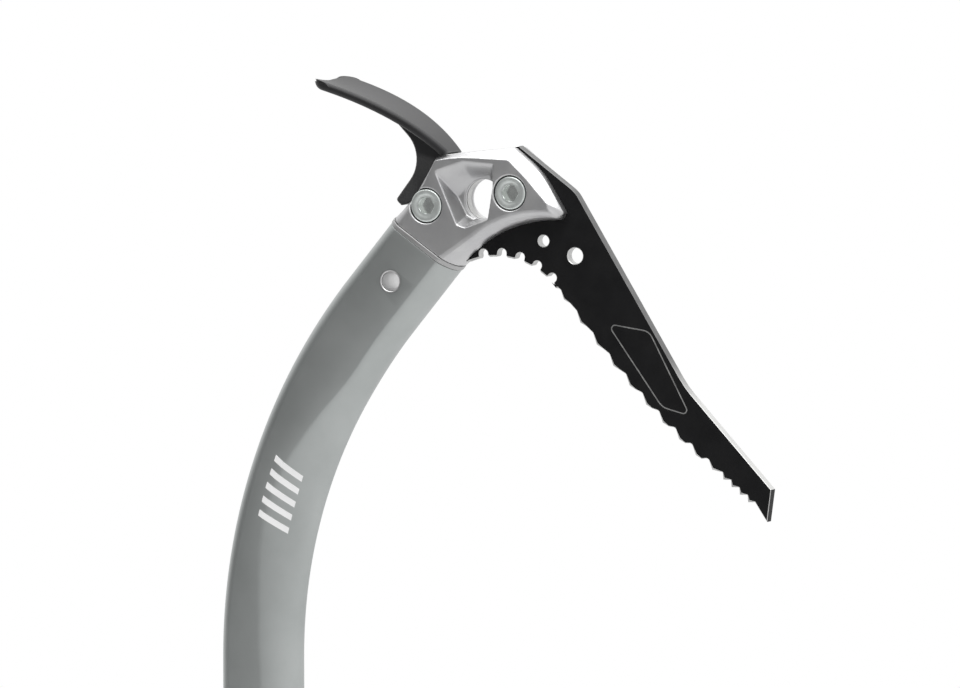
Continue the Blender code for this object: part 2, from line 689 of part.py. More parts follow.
def make_grip(plastic, rubber):
    low, high = from_end(GRIP_FROM), from_end(GRIP_TO)
    core_outer = GAP + GRIP_CORE_WALL
    cover_outer = core_outer + GAP + GRIP_COVER_WALL
    ring = GRIP_END_RING
    steps = [(high, cover_outer), (high + ring, cover_outer), (high + ring, core_outer),
             (low - ring, core_outer), (low - ring, cover_outer), (low, cover_outer)]
    rings = [shaft_ring(s, grow) for s, grow in steps]
    rings += [shaft_ring(s, GAP) for s in (low, high)]
    node(loft("grip_core", rings, around=True), plastic)
    start, end = high + ring + GAP, low - ring - GAP
    stations = [start + (end - start) * i / 24 for i in range(25)]
    outer = []
    for i, s in enumerate(stations):
        wave = (1 - math.cos(2 * math.pi * FINGER_WAVES * i / 24)) / 2
        outer.append(shaft_ring(s, cover_outer, FINGER_SWELL * wave))
    inner = [shaft_ring(s, core_outer + GAP) for s in (end, start)]
    node(loft("grip_cover", outer + inner, around=True), rubber)


def ear_outline(pivot_x, pivot_z, radius, base, low, high):
    """A clevis ear: round about its pivot, and square from one x of its base to the other."""
    root, edge = base
    side = 1 if pivot_x > root else -1
    nose = arc((pivot_x, pivot_z), radius, 0, side * math.pi, 10)
    return [(root, high), (edge, high), *nose, (edge, low), (root, low)]


def make_end_cap(metal):
    flange_low = -CAP_FLANGE - GAP
    cap = loft("end_cap", [shaft_ring(from_end(u), CAP_GROW) for u in (-GAP, flange_low)])
    join(cap, loft("cap_plug", [shaft_ring(from_end(u), INSIDE) for u in (CAP_PLUG, -CAP_FLANGE / 2)]))
    inner = REST_KNUCKLE_WIDTH / 2 + GAP
    pivot_x, pivot_z = SHAFT_X + REST_PIVOT_AHEAD, SHAFT_END_Z - REST_PIVOT_DOWN
    edge = SHAFT_X + SHAFT_DEPTH / 2 + CAP_GROW
    top, bottom = SHAFT_END_Z - GAP - 0.2 * MM, SHAFT_END_Z + flange_low + 0.2 * MM
    root = SHAFT_X + crease_at(SHAFT_LENGTH) + EAR_ROOT_AHEAD
    ear = ear_outline(pivot_x, pivot_z, REST_EAR, (root, edge), bottom, top)
    for side in (-1, 1):
        faces = sorted((side * inner, side * (inner + EAR_THICK)))
        join(cap, plate(f"cap_ear_{side}", [ear], *faces))
    cut(cap, rod("cap_axle_bore", AXLE_RADIUS + GAP, pivot_x, pivot_z, -0.02, 0.02))
    slot = SPIKE_THICK / 2 + GAP
    tang = SPIKE_TANG_HALF + GAP
    cut(cap, block("cap_slot", (SHAFT_X - tang, -slot, SHAFT_END_Z - 0.02),
                   (SHAFT_X + tang, slot, SHAFT_END_Z + SPIKE_TANG_RISE + GAP)))
    for place, up in PIN_HEIGHTS.items():
        bore = rod(f"cap_{place}_bore", PIN_RADIUS + GAP, SHAFT_X, SHAFT_END_Z + up, -0.02, 0.02)
        cut(cap, bore)
    x, z = spring_screw_place()
    cut(cap, upright("cap_screw_bore", 1.25 * MM + GAP, x, z, z + 5.5 * MM))
    return node(cap, metal)


def upright(name, radius, x, low, high):
    """A cylinder along Z on the middle plane."""
    bm = bmesh.new()
    bmesh.ops.create_cone(bm, cap_ends=True, segments=16, radius1=radius, radius2=radius,
                          depth=high - low)
    bmesh.ops.translate(bm, verts=bm.verts, vec=(x, 0, (low + high) / 2))
    return mesh_object(name, bm)


def spring_screw_place():
    """(x, z) of the screw's axis and of the cap's lower face."""
    return SHAFT_X + SHAFT_DEPTH / 2 - 1.2 * MM, SHAFT_END_Z - GAP - CAP_FLANGE


def make_spike(steel):
    half = SPIKE_THICK / 2
    top = SHAFT_END_Z + SPIKE_TANG_RISE
    shoulder = SHAFT_END_Z - GAP - CAP_FLANGE - GAP
    eye_z = SHAFT_END_Z - LEASH_EYE_DOWN
    point_z = SHAFT_END_Z - SPIKE_REACH
    right = [
        (SHAFT_X + SPIKE_TANG_HALF, top, 0), (SHAFT_X + SPIKE_TANG_HALF, shoulder, 0),
        (SHAFT_X + SPIKE_HALF, shoulder - 1 * MM, 1 * MM),
        (SHAFT_X + SPIKE_HALF, eye_z - 3 * MM, 8 * MM), (SHAFT_X + 1 * MM, point_z, 0),
    ]
    left = [
        (SHAFT_X - 1 * MM, point_z, 0), (SHAFT_X - SPIKE_HALF, eye_z - 3 * MM, 8 * MM),
        (SHAFT_X - SPIKE_HALF, shoulder - 1 * MM, 1 * MM),
        (SHAFT_X - SPIKE_TANG_HALF, shoulder, 0), (SHAFT_X - SPIKE_TANG_HALF, top, 0),
    ]
    holes = [circle(SHAFT_X, eye_z, LEASH_EYE_RADIUS)]
    holes += [circle(SHAFT_X, SHAFT_END_Z + up, PIN_RADIUS + GAP, 16) for up in PIN_HEIGHTS.values()]
    node(plate("spike", [rounded(right + left), *holes], -half, half), steel)
    for place, up in PIN_HEIGHTS.items():
        side = width_at(from_end(up), PIN_RADIUS) - GAP
        profile = [(0, -side), (PIN_RADIUS, -side), (PIN_RADIUS, side), (0, side)]
        pin = turned(f"spike_pin_{place}", profile, SHAFT_X, SHAFT_END_Z + up, steps=16)
        node(pin, steel, smooth=False)


def axle(name, x, z, radius, head, half_width):
    """A riveted axle: a round bar with a low head outside each ear."""
    near = half_width + GAP
    tall = 1 * MM
    profile = [(0, -near - tall), (head, -near - tall), (head, -near), (radius, -near), (radius, near),
               (head, near), (head, near + tall), (0, near + tall)]
    return turned(name, profile, x, z, steps=16)


def make_grip_rest(plastic, steel):
    pivot_x, pivot_z = SHAFT_X + REST_PIVOT_AHEAD, SHAFT_END_Z - REST_PIVOT_DOWN
    half = REST_KNUCKLE_WIDTH / 2
    rest = rod("griprest", REST_KNUCKLE, pivot_x, pivot_z, -half, half)
    neck_to = pivot_x + 9 * MM
    thick = REST_THICK / 2
    join(rest, block("rest_neck", (pivot_x, -half, pivot_z - thick), (neck_to, half, pivot_z + thick)))
    rings = []
    for i in range(9):
        share = i / 8
        x = pivot_x + 7.5 * MM + (REST_LENGTH - 7.5 * MM) * share
        wide = half + (REST_WIDTH / 2 - half) * math.sin(math.pi / 2 * min(1, share * 2.2))
        wide *= 1 if share < 0.9 else 0.82
        lift = 5 * MM * share * share
        tall = thick * (1 - 0.35 * share)
        ring = []
        for turn in range(12):
            angle = 2 * math.pi * turn / 12
            across = wide * math.copysign(abs(math.cos(angle)) ** 0.5, math.cos(angle))
            up = tall * math.copysign(abs(math.sin(angle)) ** 0.7, math.sin(angle))
            ring.append((x, across, pivot_z + lift + up))
        rings.append(ring)
    join(rest, loft("rest_arm", rings))
    cut(rest, rod("rest_bore", AXLE_RADIUS + GAP, pivot_x, pivot_z, -0.02, 0.02))
    node(rest, plastic)
    hang(pivot("griprest_axis", pivot_x, pivot_z), rest)
    ears = half + GAP + EAR_THICK
    node(axle("griprest_pin", pivot_x, pivot_z, AXLE_RADIUS, AXLE_HEAD, ears), steel, smooth=False)
    make_grip_rest_spring(steel, pivot_x)


def make_grip_rest_spring(steel, pivot_x):
    x, face = spring_screw_place()
    top = face - GAP
    low = top - SPRING_THICK
    half = SPRING_WIDTH / 2
    spring = block("griprest_spring", (x - 2.6 * MM, -half, low), (pivot_x + 5 * MM, half, top))
    cut(spring, upright("spring_bore", 1.25 * MM + GAP, x, low - GAP, top + GAP))
    node(spring, steel, smooth=False)
    screw = upright("spring_screw", 2.2 * MM, x, low - GAP - 1.2 * MM, low - GAP)
    join(screw, upright("screw_shank", 1.25 * MM, x, low - 2 * GAP, face + 5 * MM))
    node(screw, steel)


# --- trigger rest -------------------------------------------------------------------------


def make_trigger(plastic, rubber, steel):
    low, high = from_end(TRIGGER_UP - TRIGGER_HIGH / 2), from_end(TRIGGER_UP + TRIGGER_HIGH / 2)
    middle_z = SHAFT_END_Z + TRIGGER_UP
    ring = sleeve("trigger_rest", high, low, TRIGGER_INNER, TRIGGER_OUTER)
    front = SHAFT_X + SHAFT_DEPTH / 2 + TRIGGER_OUTER
    horn = rounded([(x * MM, z * MM, r * MM) for x, z, r in HORN_OUTLINE])
    horn = [(front + x, middle_z + z) for x, z in horn]
    join(ring, plate("trigger_horn", [horn], -HORN_WIDTH / 2, HORN_WIDTH / 2))
    pivot_x = SHAFT_X - LEVER_PIVOT_BEHIND
    pivot_z = middle_z - 4 * MM
    half = LEVER_WIDTH / 2
    edge = SHAFT_X - SHAFT_DEPTH / 2 - TRIGGER_OUTER
    ear = ear_outline(pivot_x, pivot_z, LEVER_EAR, (edge + 1.7 * MM, edge - 0.5 * MM),
                      pivot_z - LEVER_EAR - 0.5 * MM, pivot_z + LEVER_EAR + 0.5 * MM)
    for side in (-1, 1):
        faces = sorted((side * (half + GAP), side * (half + GAP + EAR_THICK)))
        join(ring, plate(f"trigger_ear_{side}", [ear], *faces))
    cut(ring, rod("trigger_axle_bore", LEVER_AXLE + GAP, pivot_x, pivot_z, -0.02, 0.02))
    liner = sleeve("trigger_liner", high + GAP, low - GAP, GAP, GAP + LINER_WALL)
    pad_line = [(front + x * MM, middle_z + z * MM) for x, z in PAD_OUTLINE]
    pad_half = HORN_WIDTH / 2 - PAD_MARGIN
    pad = plate("trigger_pad", [pad_line], -pad_half, pad_half)
    ears = half + GAP + EAR_THICK
    pin = axle("trigger_lever_pin", pivot_x, pivot_z, LEVER_AXLE, LEVER_AXLE + 1 * MM, ears)
    node(ring, plastic)
    node(liner, rubber)
    node(pad, rubber)
    node(pin, steel, smooth=False)
    hang(pivot("trigger_slide_axis", SHAFT_X, middle_z), ring, liner, pad, pin)
    make_trigger_lever(steel, pivot_x, pivot_z)


def make_trigger_lever(steel, pivot_x, pivot_z):
    half = LEVER_WIDTH / 2
    lever = rod("trigger_lever", LEVER_KNUCKLE, pivot_x, pivot_z, -half, half)
    back = pivot_x - LEVER_KNUCKLE
    top = pivot_z + LEVER_LENGTH
    arm = rounded([
        (back, pivot_z, 0), (back + LEVER_THICK, pivot_z, 0), (back + LEVER_THICK, top - 8 * MM, 20 * MM),
        (back - 1 * MM + LEVER_THICK, top, 1 * MM), (back - 3 * MM, top, 1 * MM),
        (back, top - 10 * MM, 20 * MM),
    ])
    join(lever, plate("lever_arm", [arm], -half, half))
    cut(lever, rod("lever_bore", LEVER_AXLE + GAP, pivot_x, pivot_z, -0.02, 0.02))
    node(lever, steel)
    hang(pivot("lever_axis", pivot_x, pivot_z), lever)


clear_scene()
AXE = new_collection("ice_axe")
CUTTERS = new_collection("ice_axe_cutters")


def build():
    forged = material("forged_alloy", (0.36, 0.36, 0.37), 0.42, 0.9)
    bright = material("bolt_steel", (0.62, 0.62, 0.60), 0.3, 1.0)
    aluminium = material("shaft_aluminium", (0.34, 0.35, 0.36), 0.4, 0.9)
    black = material("blade_black", (0.02, 0.02, 0.022), 0.35, 0.5)
    grey = material("adze_grey", (0.10, 0.10, 0.105), 0.4, 0.6)
    rubber = material("rubber", (0.025, 0.025, 0.027), 0.85)
    plastic = material("moulded_plastic", (0.05, 0.05, 0.055), 0.5)
    make_head(forged)
    make_shaft(aluminium, rubber, bright)
    make_bolts(bright)
    make_pick(black)
    make_adze(grey)
    make_grip(plastic, rubber)
    make_end_cap(forged)
    make_spike(bright)
    make_grip_rest(plastic, bright)
    make_trigger(plastic, rubber, bright)


build()
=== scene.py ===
"""Looks of the ice axe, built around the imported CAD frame.

Frame: metres, +Z up. The origin is the centre of the carabiner eye in the head, +X
points to the pick and the tool's thickness lies along Y. Outlines are (x, z) pairs in
millimetres, drawn in the tool's middle plane.
"""

import math

import bmesh
import bpy
from mathutils import Matrix, Vector


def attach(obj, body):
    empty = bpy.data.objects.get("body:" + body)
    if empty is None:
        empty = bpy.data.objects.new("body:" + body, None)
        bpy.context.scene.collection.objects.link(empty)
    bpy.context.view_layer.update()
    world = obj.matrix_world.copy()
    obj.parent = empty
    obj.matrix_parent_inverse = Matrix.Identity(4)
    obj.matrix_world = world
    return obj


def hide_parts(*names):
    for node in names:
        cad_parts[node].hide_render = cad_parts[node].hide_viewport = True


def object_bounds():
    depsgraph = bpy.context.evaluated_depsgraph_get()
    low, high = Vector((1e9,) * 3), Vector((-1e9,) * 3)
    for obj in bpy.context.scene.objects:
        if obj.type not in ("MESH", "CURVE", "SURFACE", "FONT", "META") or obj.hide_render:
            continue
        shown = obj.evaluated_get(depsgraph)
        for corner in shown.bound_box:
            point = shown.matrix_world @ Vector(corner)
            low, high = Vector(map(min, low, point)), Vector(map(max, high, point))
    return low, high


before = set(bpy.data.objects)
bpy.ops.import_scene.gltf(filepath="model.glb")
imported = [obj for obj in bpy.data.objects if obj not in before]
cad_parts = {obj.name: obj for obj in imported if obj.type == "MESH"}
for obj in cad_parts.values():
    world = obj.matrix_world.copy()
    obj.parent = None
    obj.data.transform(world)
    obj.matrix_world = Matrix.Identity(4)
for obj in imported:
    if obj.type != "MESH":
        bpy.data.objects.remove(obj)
CAD_BOX = [list(corner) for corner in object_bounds()]

MM = 0.001
GAP = 0.3 * MM  # between pieces that touch
ARC_STEP = math.radians(7)  # an outline's rounded corner takes one point in this turn
QUARTER_STEPS = 14  # points in a quarter of the shaft's section
OUTSIDE_STEP, INSIDE_STEP = 4 * MM, 12 * MM  # between the sections of a sleeve
WELD = 1e-6  # vertices this near are one
LONGEST_MITRE = 2.2  # how far an inset corner may move, in widths
CLEAR = 2 * MM  # how far a cutting tool reaches past the surface
BORE_REACH = 20 * MM
NEAR = 0.02 * MM  # how exactly a face is looked up by its place

# Most sizes are the CAD model's. Where the picture needed another one, a comment has the CAD's.

# Shaft.
SHAFT_DEPTH = 32 * MM
SHAFT_WIDTH = 21 * MM
SHAFT_WALL = 1.5 * MM
REAR_ROUND = 6 * MM
CREASE_HIGH = 9 * MM
FRONT_SLOPE = 0.26  # inward slope of the sides where they leave the crease (CAD 0.2)
# Millimetres below the collar, and the crease's place ahead of the axis there. The CAD has one
# straight line from 9 to -2.
CREASES = [
    (0, 9), (62, 9), (77, 4.9), (90, 2), (107, -2.5), (126, -3.4), (138, -2.8), (154, 0.1), (190, 2.3),
]
CREASE_BLUR = 9  # millimetres over which the line through the stations is rounded
COLLAR = (-23.4 * MM, -16.5 * MM)
COLLAR_TILT = math.radians(4.8)
NECK_LENGTH = 32 * MM
BEND_RADIUS = 212 * MM
BEND_ANGLE = math.radians(39.7)
STRAIGHT_LENGTH = 263.5 * MM
BEND_LENGTH = BEND_RADIUS * BEND_ANGLE
SHAFT_LENGTH = NECK_LENGTH + BEND_LENGTH + STRAIGHT_LENGTH
BEND_TOP = (
    COLLAR[0] - NECK_LENGTH * math.sin(BEND_ANGLE),
    COLLAR[1] - NECK_LENGTH * math.cos(BEND_ANGLE),
)
SHAFT_X = BEND_TOP[0] - BEND_RADIUS * (1 - math.cos(BEND_ANGLE))
BEND_FOOT_Z = BEND_TOP[1] - BEND_RADIUS * math.sin(BEND_ANGLE)
SHAFT_END_Z = BEND_FOOT_Z - STRAIGHT_LENGTH
FRONT_X, REAR_X = SHAFT_X + SHAFT_DEPTH / 2, SHAFT_X - SHAFT_DEPTH / 2
INSIDE = -SHAFT_WALL - GAP
GASKET_THICK = 1.5 * MM
GASKET_LIP = 0.3 * MM  # CAD 0.5
GASKET_FIT = 0.12 * MM  # between the gasket and its neighbours (CAD GAP)
EYELET_DOWN = 19.4 * MM
EYELET_BORE = 3.6 * MM
EYELET_OUTER = 4.4 * MM
EYELET_FIT = 0.06 * MM  # between the rivet and the shaft's bore (CAD GAP)
EYELET_LIP = 0.6 * MM

# Printed bars, in millimetres down the shaft and ahead of its axis.
MARK_BARS = 5
MARK_DOWN, MARK_PITCH = 101, 5.4
MARK_DEPTHS = (-5.0, 7.0)
MARK_STEPS = 36
MARK_SLANT = 0.35
MARK_BAR = 2.4 * MM
MARK_LIFT = 0.09 * MM  # half of a bar's thickness

# Head outlines: each corner is x, z, the radius of its arc, then how round the edge
# between cheek and rim is there (0 is a flat bevel) and half the rim's width.
HEAD_WIDTH = SHAFT_WIDTH
COLLAR_CORNER = 0.4
HEAD_RIM = [
    (-27.7, 0.1, 10, 0.7, 5), (-18.5, 15.8, 1.5, 0, 6), (-8.0, 17.6, 20, 0, 6),
    (12.9, 19.8, 1.2, 0, 6), (24.1, 10.9, 35, 0, 6), (33.6, -4.2, 1.5, 0.2, 6),
    (32.0, -6.9, 1.2, 1, 5), (8.2, -8.4, 50, 1, 3.6),
]
HEAD_CHEEK = [
    (-25.2, -0.6, 8), (-17.5, 14.7, 1.0), (-8.0, 16.3, 70), (12.6, 15.4, 1.5),
    (19.8, 8.6, 25), (28.6, -0.8, 1.0), (27.8, -2.8, 0.8), (10.0, -3.8, 40),
]
COLLAR_RIM = 0.4  # half the rim's width where the head meets the shaft
PLUG_LENGTH = 45 * MM
PLUG_OVERLAP = 3 * MM  # how far the plug starts inside the head
PLUG_STEP = 6 * MM
SLOT = [
    (60, 30), (11.5, 30), (11.5, 15.6), (-12.0, 13.8), (-19.5, 12.6), (-34, 16),
    (-44, 4), (-29.5, -1.6), (-28.4, -7.2), (-8.2, -23.6), (0, -36), (60, -36),
]
EYE_RADIUS = 7.7
EYE_FLAT = (math.radians(49), math.radians(150))
SCOOP_DEEP = 6.2
SCOOP_START = 0.06  # the scoop's wall starts this far out of the cheek
# x, z, and how softly the scoop leaves the cheek. The CAD's rim and floor have six corners.
SCOOP_RIM = [
    (-17.7, 10.9, 0.2), (-8.6, -9.6, 0), (-5.2, -10.6, 0), (4.1, -7.2, 0.3),
    (6.2, 5.2, 0.8), (6.9, 14.2, 1.0), (-6.0, 15.3, 1.0),
]
SCOOP_FLOOR = [
    (-10.5, 0.5), (-6.8, -6.0), (-4.2, -7.6), (4.0, -7.0), (6.0, 3.0), (2.0, 7.3), (-4.5, 6.3),
]

# Bolts and nuts.
BOLTS = {"rear": (-21.2 * MM, -2.5 * MM), "front": (13.2 * MM, 3.0 * MM)}
BOLT_SHANK = 3.0 * MM
BOLT_HEAD = 6.3 * MM
BOLT_SEAT = 5.5 * MM
BOLT_SUNK = 0.3 * MM
BOLT_RECESS = BOLT_HEAD + 0.35 * MM  # CAD + 0.7
RECESS_BEVEL = 0.3 * MM
WASHER_THICK = 0.8 * MM
HEX_ACROSS = 6 * MM
NUT_HEX_ACROSS = 8 * MM
HEX_DEEP = 2.4 * MM
BOLT_ROUND = 0.7 * MM  # radius of the head's edge
WASHER_BEVEL = 0.15 * MM
DISH_FLAT, DISH_SLOPE, DISH_DEEP = 0.7 * MM, 0.25 * MM, 0.12 * MM  # sunk ring round the socket
SHANK_BEVEL = 0.4 * MM
LEAD_WIDE, BOLT_LEAD, NUT_LEAD = 0.1 * MM, 0.3 * MM, 0.5 * MM  # cones that open the sockets
SOCKET_SHADE = 0.5 * MM  # depth from which a socket has its own steel

# Pick.
PICK_HALF = 2.15 * MM
SLOT_HALF = PICK_HALF + 0.1 * MM  # CAD + GAP
# The CAD has a radius of 4 in place of the 12.
PICK_TOP = [(11.9, 15.2, 0), (11.9, 20.2, 0), (13.4, 20.3, 0.5), (36.4, 3.5, 12), (80.9, -68.6, 40)]
PICK_NOSE = [(115.9, -106.0), (114.3, -118.1), (109.4, -110.8)]
PICK_HEEL = (-7.6, -23.2)
PICK_HOLES = [(23.6, -15.2, 2.2), (36.5, -20.5, 3.07)]
LAP_X = -11.5
LAP_REACH = 40 * MM
PICK_TANG = [(-25.5, -8.7, 2), (-27.0, -5.5, 2), (-27.0, 0.5, 3), (-20.0, 6.2, 3), (LAP_X, 6.6, 0),
             (LAP_X, 13.3, 1)]
BELLY_CENTRE = (4.5, -53.4)
BELLY_RADIUS = 31.8
BELLY_FROM, BELLY_TO = math.radians(-22.0), math.radians(50.0)
BELLY_NOTCHES = 5
NOTCH_HALF, NOTCH_DEEP = 1.75, 3.2  # CAD 3.0 deep
NOTCH_LIP = 0.8  # radius of a notch's two corners
GULLET = 1.5  # radius between two teeth
TOOTH_PITCH = 6.7
MAIN_TEETH = 9
FIRST_TOOTH_X = 91.9
TOOTH_LINE = (58.9, -69.3, -1.058, 0.004525)  # x, z, slope and curve of the line through the tips
TOOTH_RISE = (1.2, 4.4)
TOOTH_HEEL = (2.7, 1.3)
END_TEETH = 4
END_TOOTH = (106.4, -111.0)
END_PITCH = (3.35, 2.72)
END_TOOTH_RISE = 2.8
END_GULLET = 0.4
BACK_FROM = 12.5  # x from which the back edge is looked up
BACK_SLOPES = (0.73, 1.62, 1.07)
BACK_BAND = 2.5  # how far down the back's own steel and bevel reach
BACK_BEVEL, BELLY_BEVEL, EYE_BEVEL = 0.16, 0.65, 0.06
GULLET_BEVEL, TIP_BEVEL_MORE, TIP_REACH = 0.25, 0.6, 3
PICK_BACK_FADE = (-75 * MM, -58 * MM)  # the back is light below the first, dark above the second
ENGRAVING = [(49.2, -45.4, 1.6), (66.8, -47.9, 5), (83.6, -79.6, 1.6), (71.8, -76.6, 7)]
ENGRAVING_LINE = 0.45  # width of the engraved line
ENGRAVING_DEEP = 0.15 * MM

# Adze. The CAD's is a little shorter and has thinner, squarer ends.
ADZE_ROOT, ADZE_BEND, ADZE_TIP = (-13.5, 17.5), (-31.0, 36.0), (-66.6, 45.4)
ADZE_THICK = 3.4  # CAD 2.5
ADZE_EDGE_THICK = 3.2  # CAD 1.0
ADZE_TAPER = 0.3
ADZE_BLUNT = 0.3  # share of the thickness left at the cutting edge
ADZE_ROOT_HALF, ADZE_TIP_HALF = 7.0, 16.0
ADZE_GROOVE = 1.3  # at the tip
ADZE_EDGE_ROUND = 3.0  # length over which the cutting edge rounds off
ADZE_CORNER = 6.0  # CAD 2.5
ADZE_DIP = 1.6  # how far the middle of the cutting edge stays back
ADZE_EDGE_STATIONS = (0.955, 0.967, 0.977, 0.985, 0.991, 0.996, 0.999, 1)
WEB_HALF = 3 * MM
WEB_BEVEL = 0.5
WEB_SPINE = (0.06, 0.2, 0.3, 0.46, 0.62)  # where the web meets the blade, from root to tip
WEB_BACK = [(-24.4, 15.6, 13), (-36.9, -1.0, 1.2), (-34.6, -3.1, 0.8), (-28.0, -1.0, 0), (-16, 12, 0)]
ADZE_TANG_END = LAP_X - 1.1
ADZE_TANG = [(-25.5, 11.9, 0), (ADZE_TANG_END, 12.8, 1), (ADZE_TANG_END, -7.5, 1), (-19.0, -11.8, 2),
             (-26.0, -7.6, 2), (-28.6, -0.2, 0), (-31.0, 3.0, 0)]
HEAD_CLEARANCE = 0.35

# Handle.
GRIP_FROM, GRIP_TO = 6 * MM, 134 * MM
GRIP_CORE_WALL = 1.2 * MM
GRIP_COVER_WALL = 2.2 * MM
GRIP_END_RING = 2.2 * MM
FINGER_WAVES = 4
FINGER_SWELL = 1.6 * MM
GRIP_RIB = 0.5 * MM
RIB_PITCH = 3.2 * MM
RIB_SLANT, RIB_STEEP = 0.45, 1.1
GRIP_EDGE = 0.5 * MM
COVER_STEP = 0.75 * MM
PLAIN_END = 4 * MM  # no ribs this near the cover's ends
CAP_PLUG = 40 * MM
CAP_FLANGE = 7.2 * MM
CAP_GROW = 1.5 * MM
CAP_EAR_INSET = 0.2 * MM
CAP_EAR_ROOT = 8 * MM
CAP_FACE_Z = SHAFT_END_Z - GAP - CAP_FLANGE
SPIKE_HALF_THICK = 2.5 * MM
SPIKE_TANG_HALF = 8 * MM
SPIKE_TANG_RISE = 36 * MM
SPIKE_REACH = 41 * MM
LEASH_EYE_DOWN = 20 * MM
LEASH_EYE_RADIUS = 6 * MM
SPIKE_HALF = 12 * MM
SPIKE_KNEE = 3  # millimetres from the leash eye down to where the point starts
SPIKE_BEVEL, POINT_BEVEL = 0.4, 0.9
PIN_RADIUS = 2.0 * MM
PIN_FLAT, PIN_DOME = 0.4 * MM, 0.6 * MM
PIN_HEIGHTS = {"lower": 10 * MM, "upper": 26 * MM}
REST_KNUCKLE = 4.1 * MM
REST_EAR = REST_KNUCKLE + 0.8 * MM
REST_X = FRONT_X + CAP_GROW + REST_EAR + 3.8 * MM
REST_Z = SHAFT_END_Z - CAP_FLANGE + REST_KNUCKLE
REST_KNUCKLE_WIDTH = 10 * MM
EAR_THICK = 3 * MM
REST_LENGTH = 40 * MM
REST_WIDTH = 19 * MM
REST_THICK = 5.4 * MM
REST_NECK = 9 * MM
REST_ARM_FROM = 7.5 * MM
REST_LIFT = 5 * MM
REST_GROOVES = 5
AXLE_RADIUS = 2.0 * MM
AXLE_HEAD = AXLE_RADIUS + 1.1 * MM
AXLE_FLAT, AXLE_DOME = 0.3 * MM, 1 * MM
LEAF_THICK = 0.6 * MM
LEAF_HALF = 4 * MM
LEAF_BEHIND, LEAF_AHEAD = 2.6 * MM, 5 * MM  # of the screw's axis, and of the rest's
SCREW_X = FRONT_X - 1.2 * MM
SCREW_SHANK, SCREW_DEEP = 1.25 * MM, 5 * MM
SCREW_HEAD, SCREW_HEAD_TALL = 2.2 * MM, 1.2 * MM
SCREW_BEVEL = 0.3 * MM
SCREW_SLOT_HALF = 0.3 * MM

# Trigger rest.
TRIGGER_HIGH = 18 * MM
TRIGGER_UP = GRIP_TO + 12 * MM + TRIGGER_HIGH / 2
LINER_WALL = 1.0 * MM
TRIGGER_WALL = 3.0 * MM
HORN_WIDTH = 12 * MM
PAD_INSET = 0.5 * MM
PAD_BEVEL = 0.4
LEVER_KNUCKLE = 3.6 * MM
LEVER_EAR = LEVER_KNUCKLE + 0.6 * MM
TRIGGER_INNER = GAP + LINER_WALL + GAP
TRIGGER_OUTER = TRIGGER_INNER + TRIGGER_WALL
TRIGGER_Z = SHAFT_END_Z + TRIGGER_UP
LEVER_X = REAR_X - TRIGGER_OUTER - LEVER_EAR - 0.6 * MM
LEVER_Z = TRIGGER_Z - 4 * MM
LEVER_WIDTH = 8 * MM
LEVER_LENGTH = 26 * MM
LEVER_THICK = 3.4 * MM
LEVER_AXLE = 1.6 * MM
HORN_OUTLINE = [
    (-1.6, 8, 0), (4, 7.5, 5), (14, 1.5, 8), (26, 4.0, 3), (27.5, 8.0, 2), (31, 7.2, 2),
    (30.5, -1.5, 6), (14, -7.5, 12), (-1.6, -8.5, 0),
]
PAD_OUTLINE = [(7.2, 6.4, 0.5), (14.2, 2.6, 8), (24.6, 4.6, 2), (24.2, 6.6, 0.7), (14.6, 4.6, 8),
               (8.4, 8.0, 0.7)]

# Camera and stage.
CAMERA_AZIMUTH = math.radians(23.5)
CAMERA_ELEVATION = math.radians(4.0)
CAMERA_DISTANCE = 4.0
CAMERA_LENS = 397.5
CAMERA_TARGET = (-0.0034, 0, -0.0549)
FLOOR_RADIUS = 1.25
FLOOR_BELOW = 1 * MM  # under the lowest point
STUDIO_DARK_SIDE = (-0.62, -0.75, -0.2)
STUDIO_DARK = 0.24
GRAIN_DEEP = 0.1 * MM


# --- objects and modifiers -----------------------------------------------------------


def mesh_object(name, bm):
    bmesh.ops.remove_doubles(bm, verts=bm.verts, dist=WELD)
    bmesh.ops.recalc_face_normals(bm, faces=bm.faces)
    mesh = bpy.data.meshes.new(name)
    bm.to_mesh(mesh)
    bm.free()
    obj = bpy.data.objects.new(name, mesh)
    bpy.context.scene.collection.objects.link(obj)
    return obj


def settle(obj):
    """Applies the object's modifiers to its mesh."""
    graph = bpy.context.evaluated_depsgraph_get()
    mesh = bpy.data.meshes.new_from_object(obj.evaluated_get(graph))
    obj.modifiers.clear()
    old = obj.data
    obj.data = mesh
    bpy.data.meshes.remove(old)


def combine(target, operation, tools):
    for tool in tools:
        modifier = target.modifiers.new(tool.name, "BOOLEAN")
        modifier.operation = operation
        modifier.object = tool
    settle(target)
    for tool in tools:
        bpy.data.objects.remove(tool)


def cut(target, *tools):
    combine(target, "DIFFERENCE", tools)


def join(target, *tools):
    combine(target, "UNION", tools)


def soften(obj, voxel, rounds, keep):
    """Remeshes the piece finely and smooths it, so its edges come out forged or moulded."""
    remesh = obj.modifiers.new("remesh", "REMESH")
    remesh.mode = "VOXEL"
    remesh.voxel_size = voxel
    smooth = obj.modifiers.new("smooth", "SMOOTH")
    smooth.factor = 0.5
    smooth.iterations = rounds
    thin = obj.modifiers.new("thin", "DECIMATE")
    thin.ratio = keep
    settle(obj)


def piece(obj, body, nodes, slot, *materials, sharp=32):
    """Makes the object stand for CAD nodes, in these materials, on one body."""
    for i, material in enumerate(materials):
        if i < len(obj.data.materials):
            obj.data.materials[i] = material
        else:
            obj.data.materials.append(material)
    obj.data.shade_smooth()
    if sharp:
        obj.data.set_sharp_from_angle(angle=math.radians(sharp))
    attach(obj, body)
    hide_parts(*nodes)


# --- shapes --------------------------------------------------------------------------


def quarter(count):
    """Angles from 0 to a quarter of a turn."""
    return [math.pi / 2 * i / count for i in range(count + 1)]


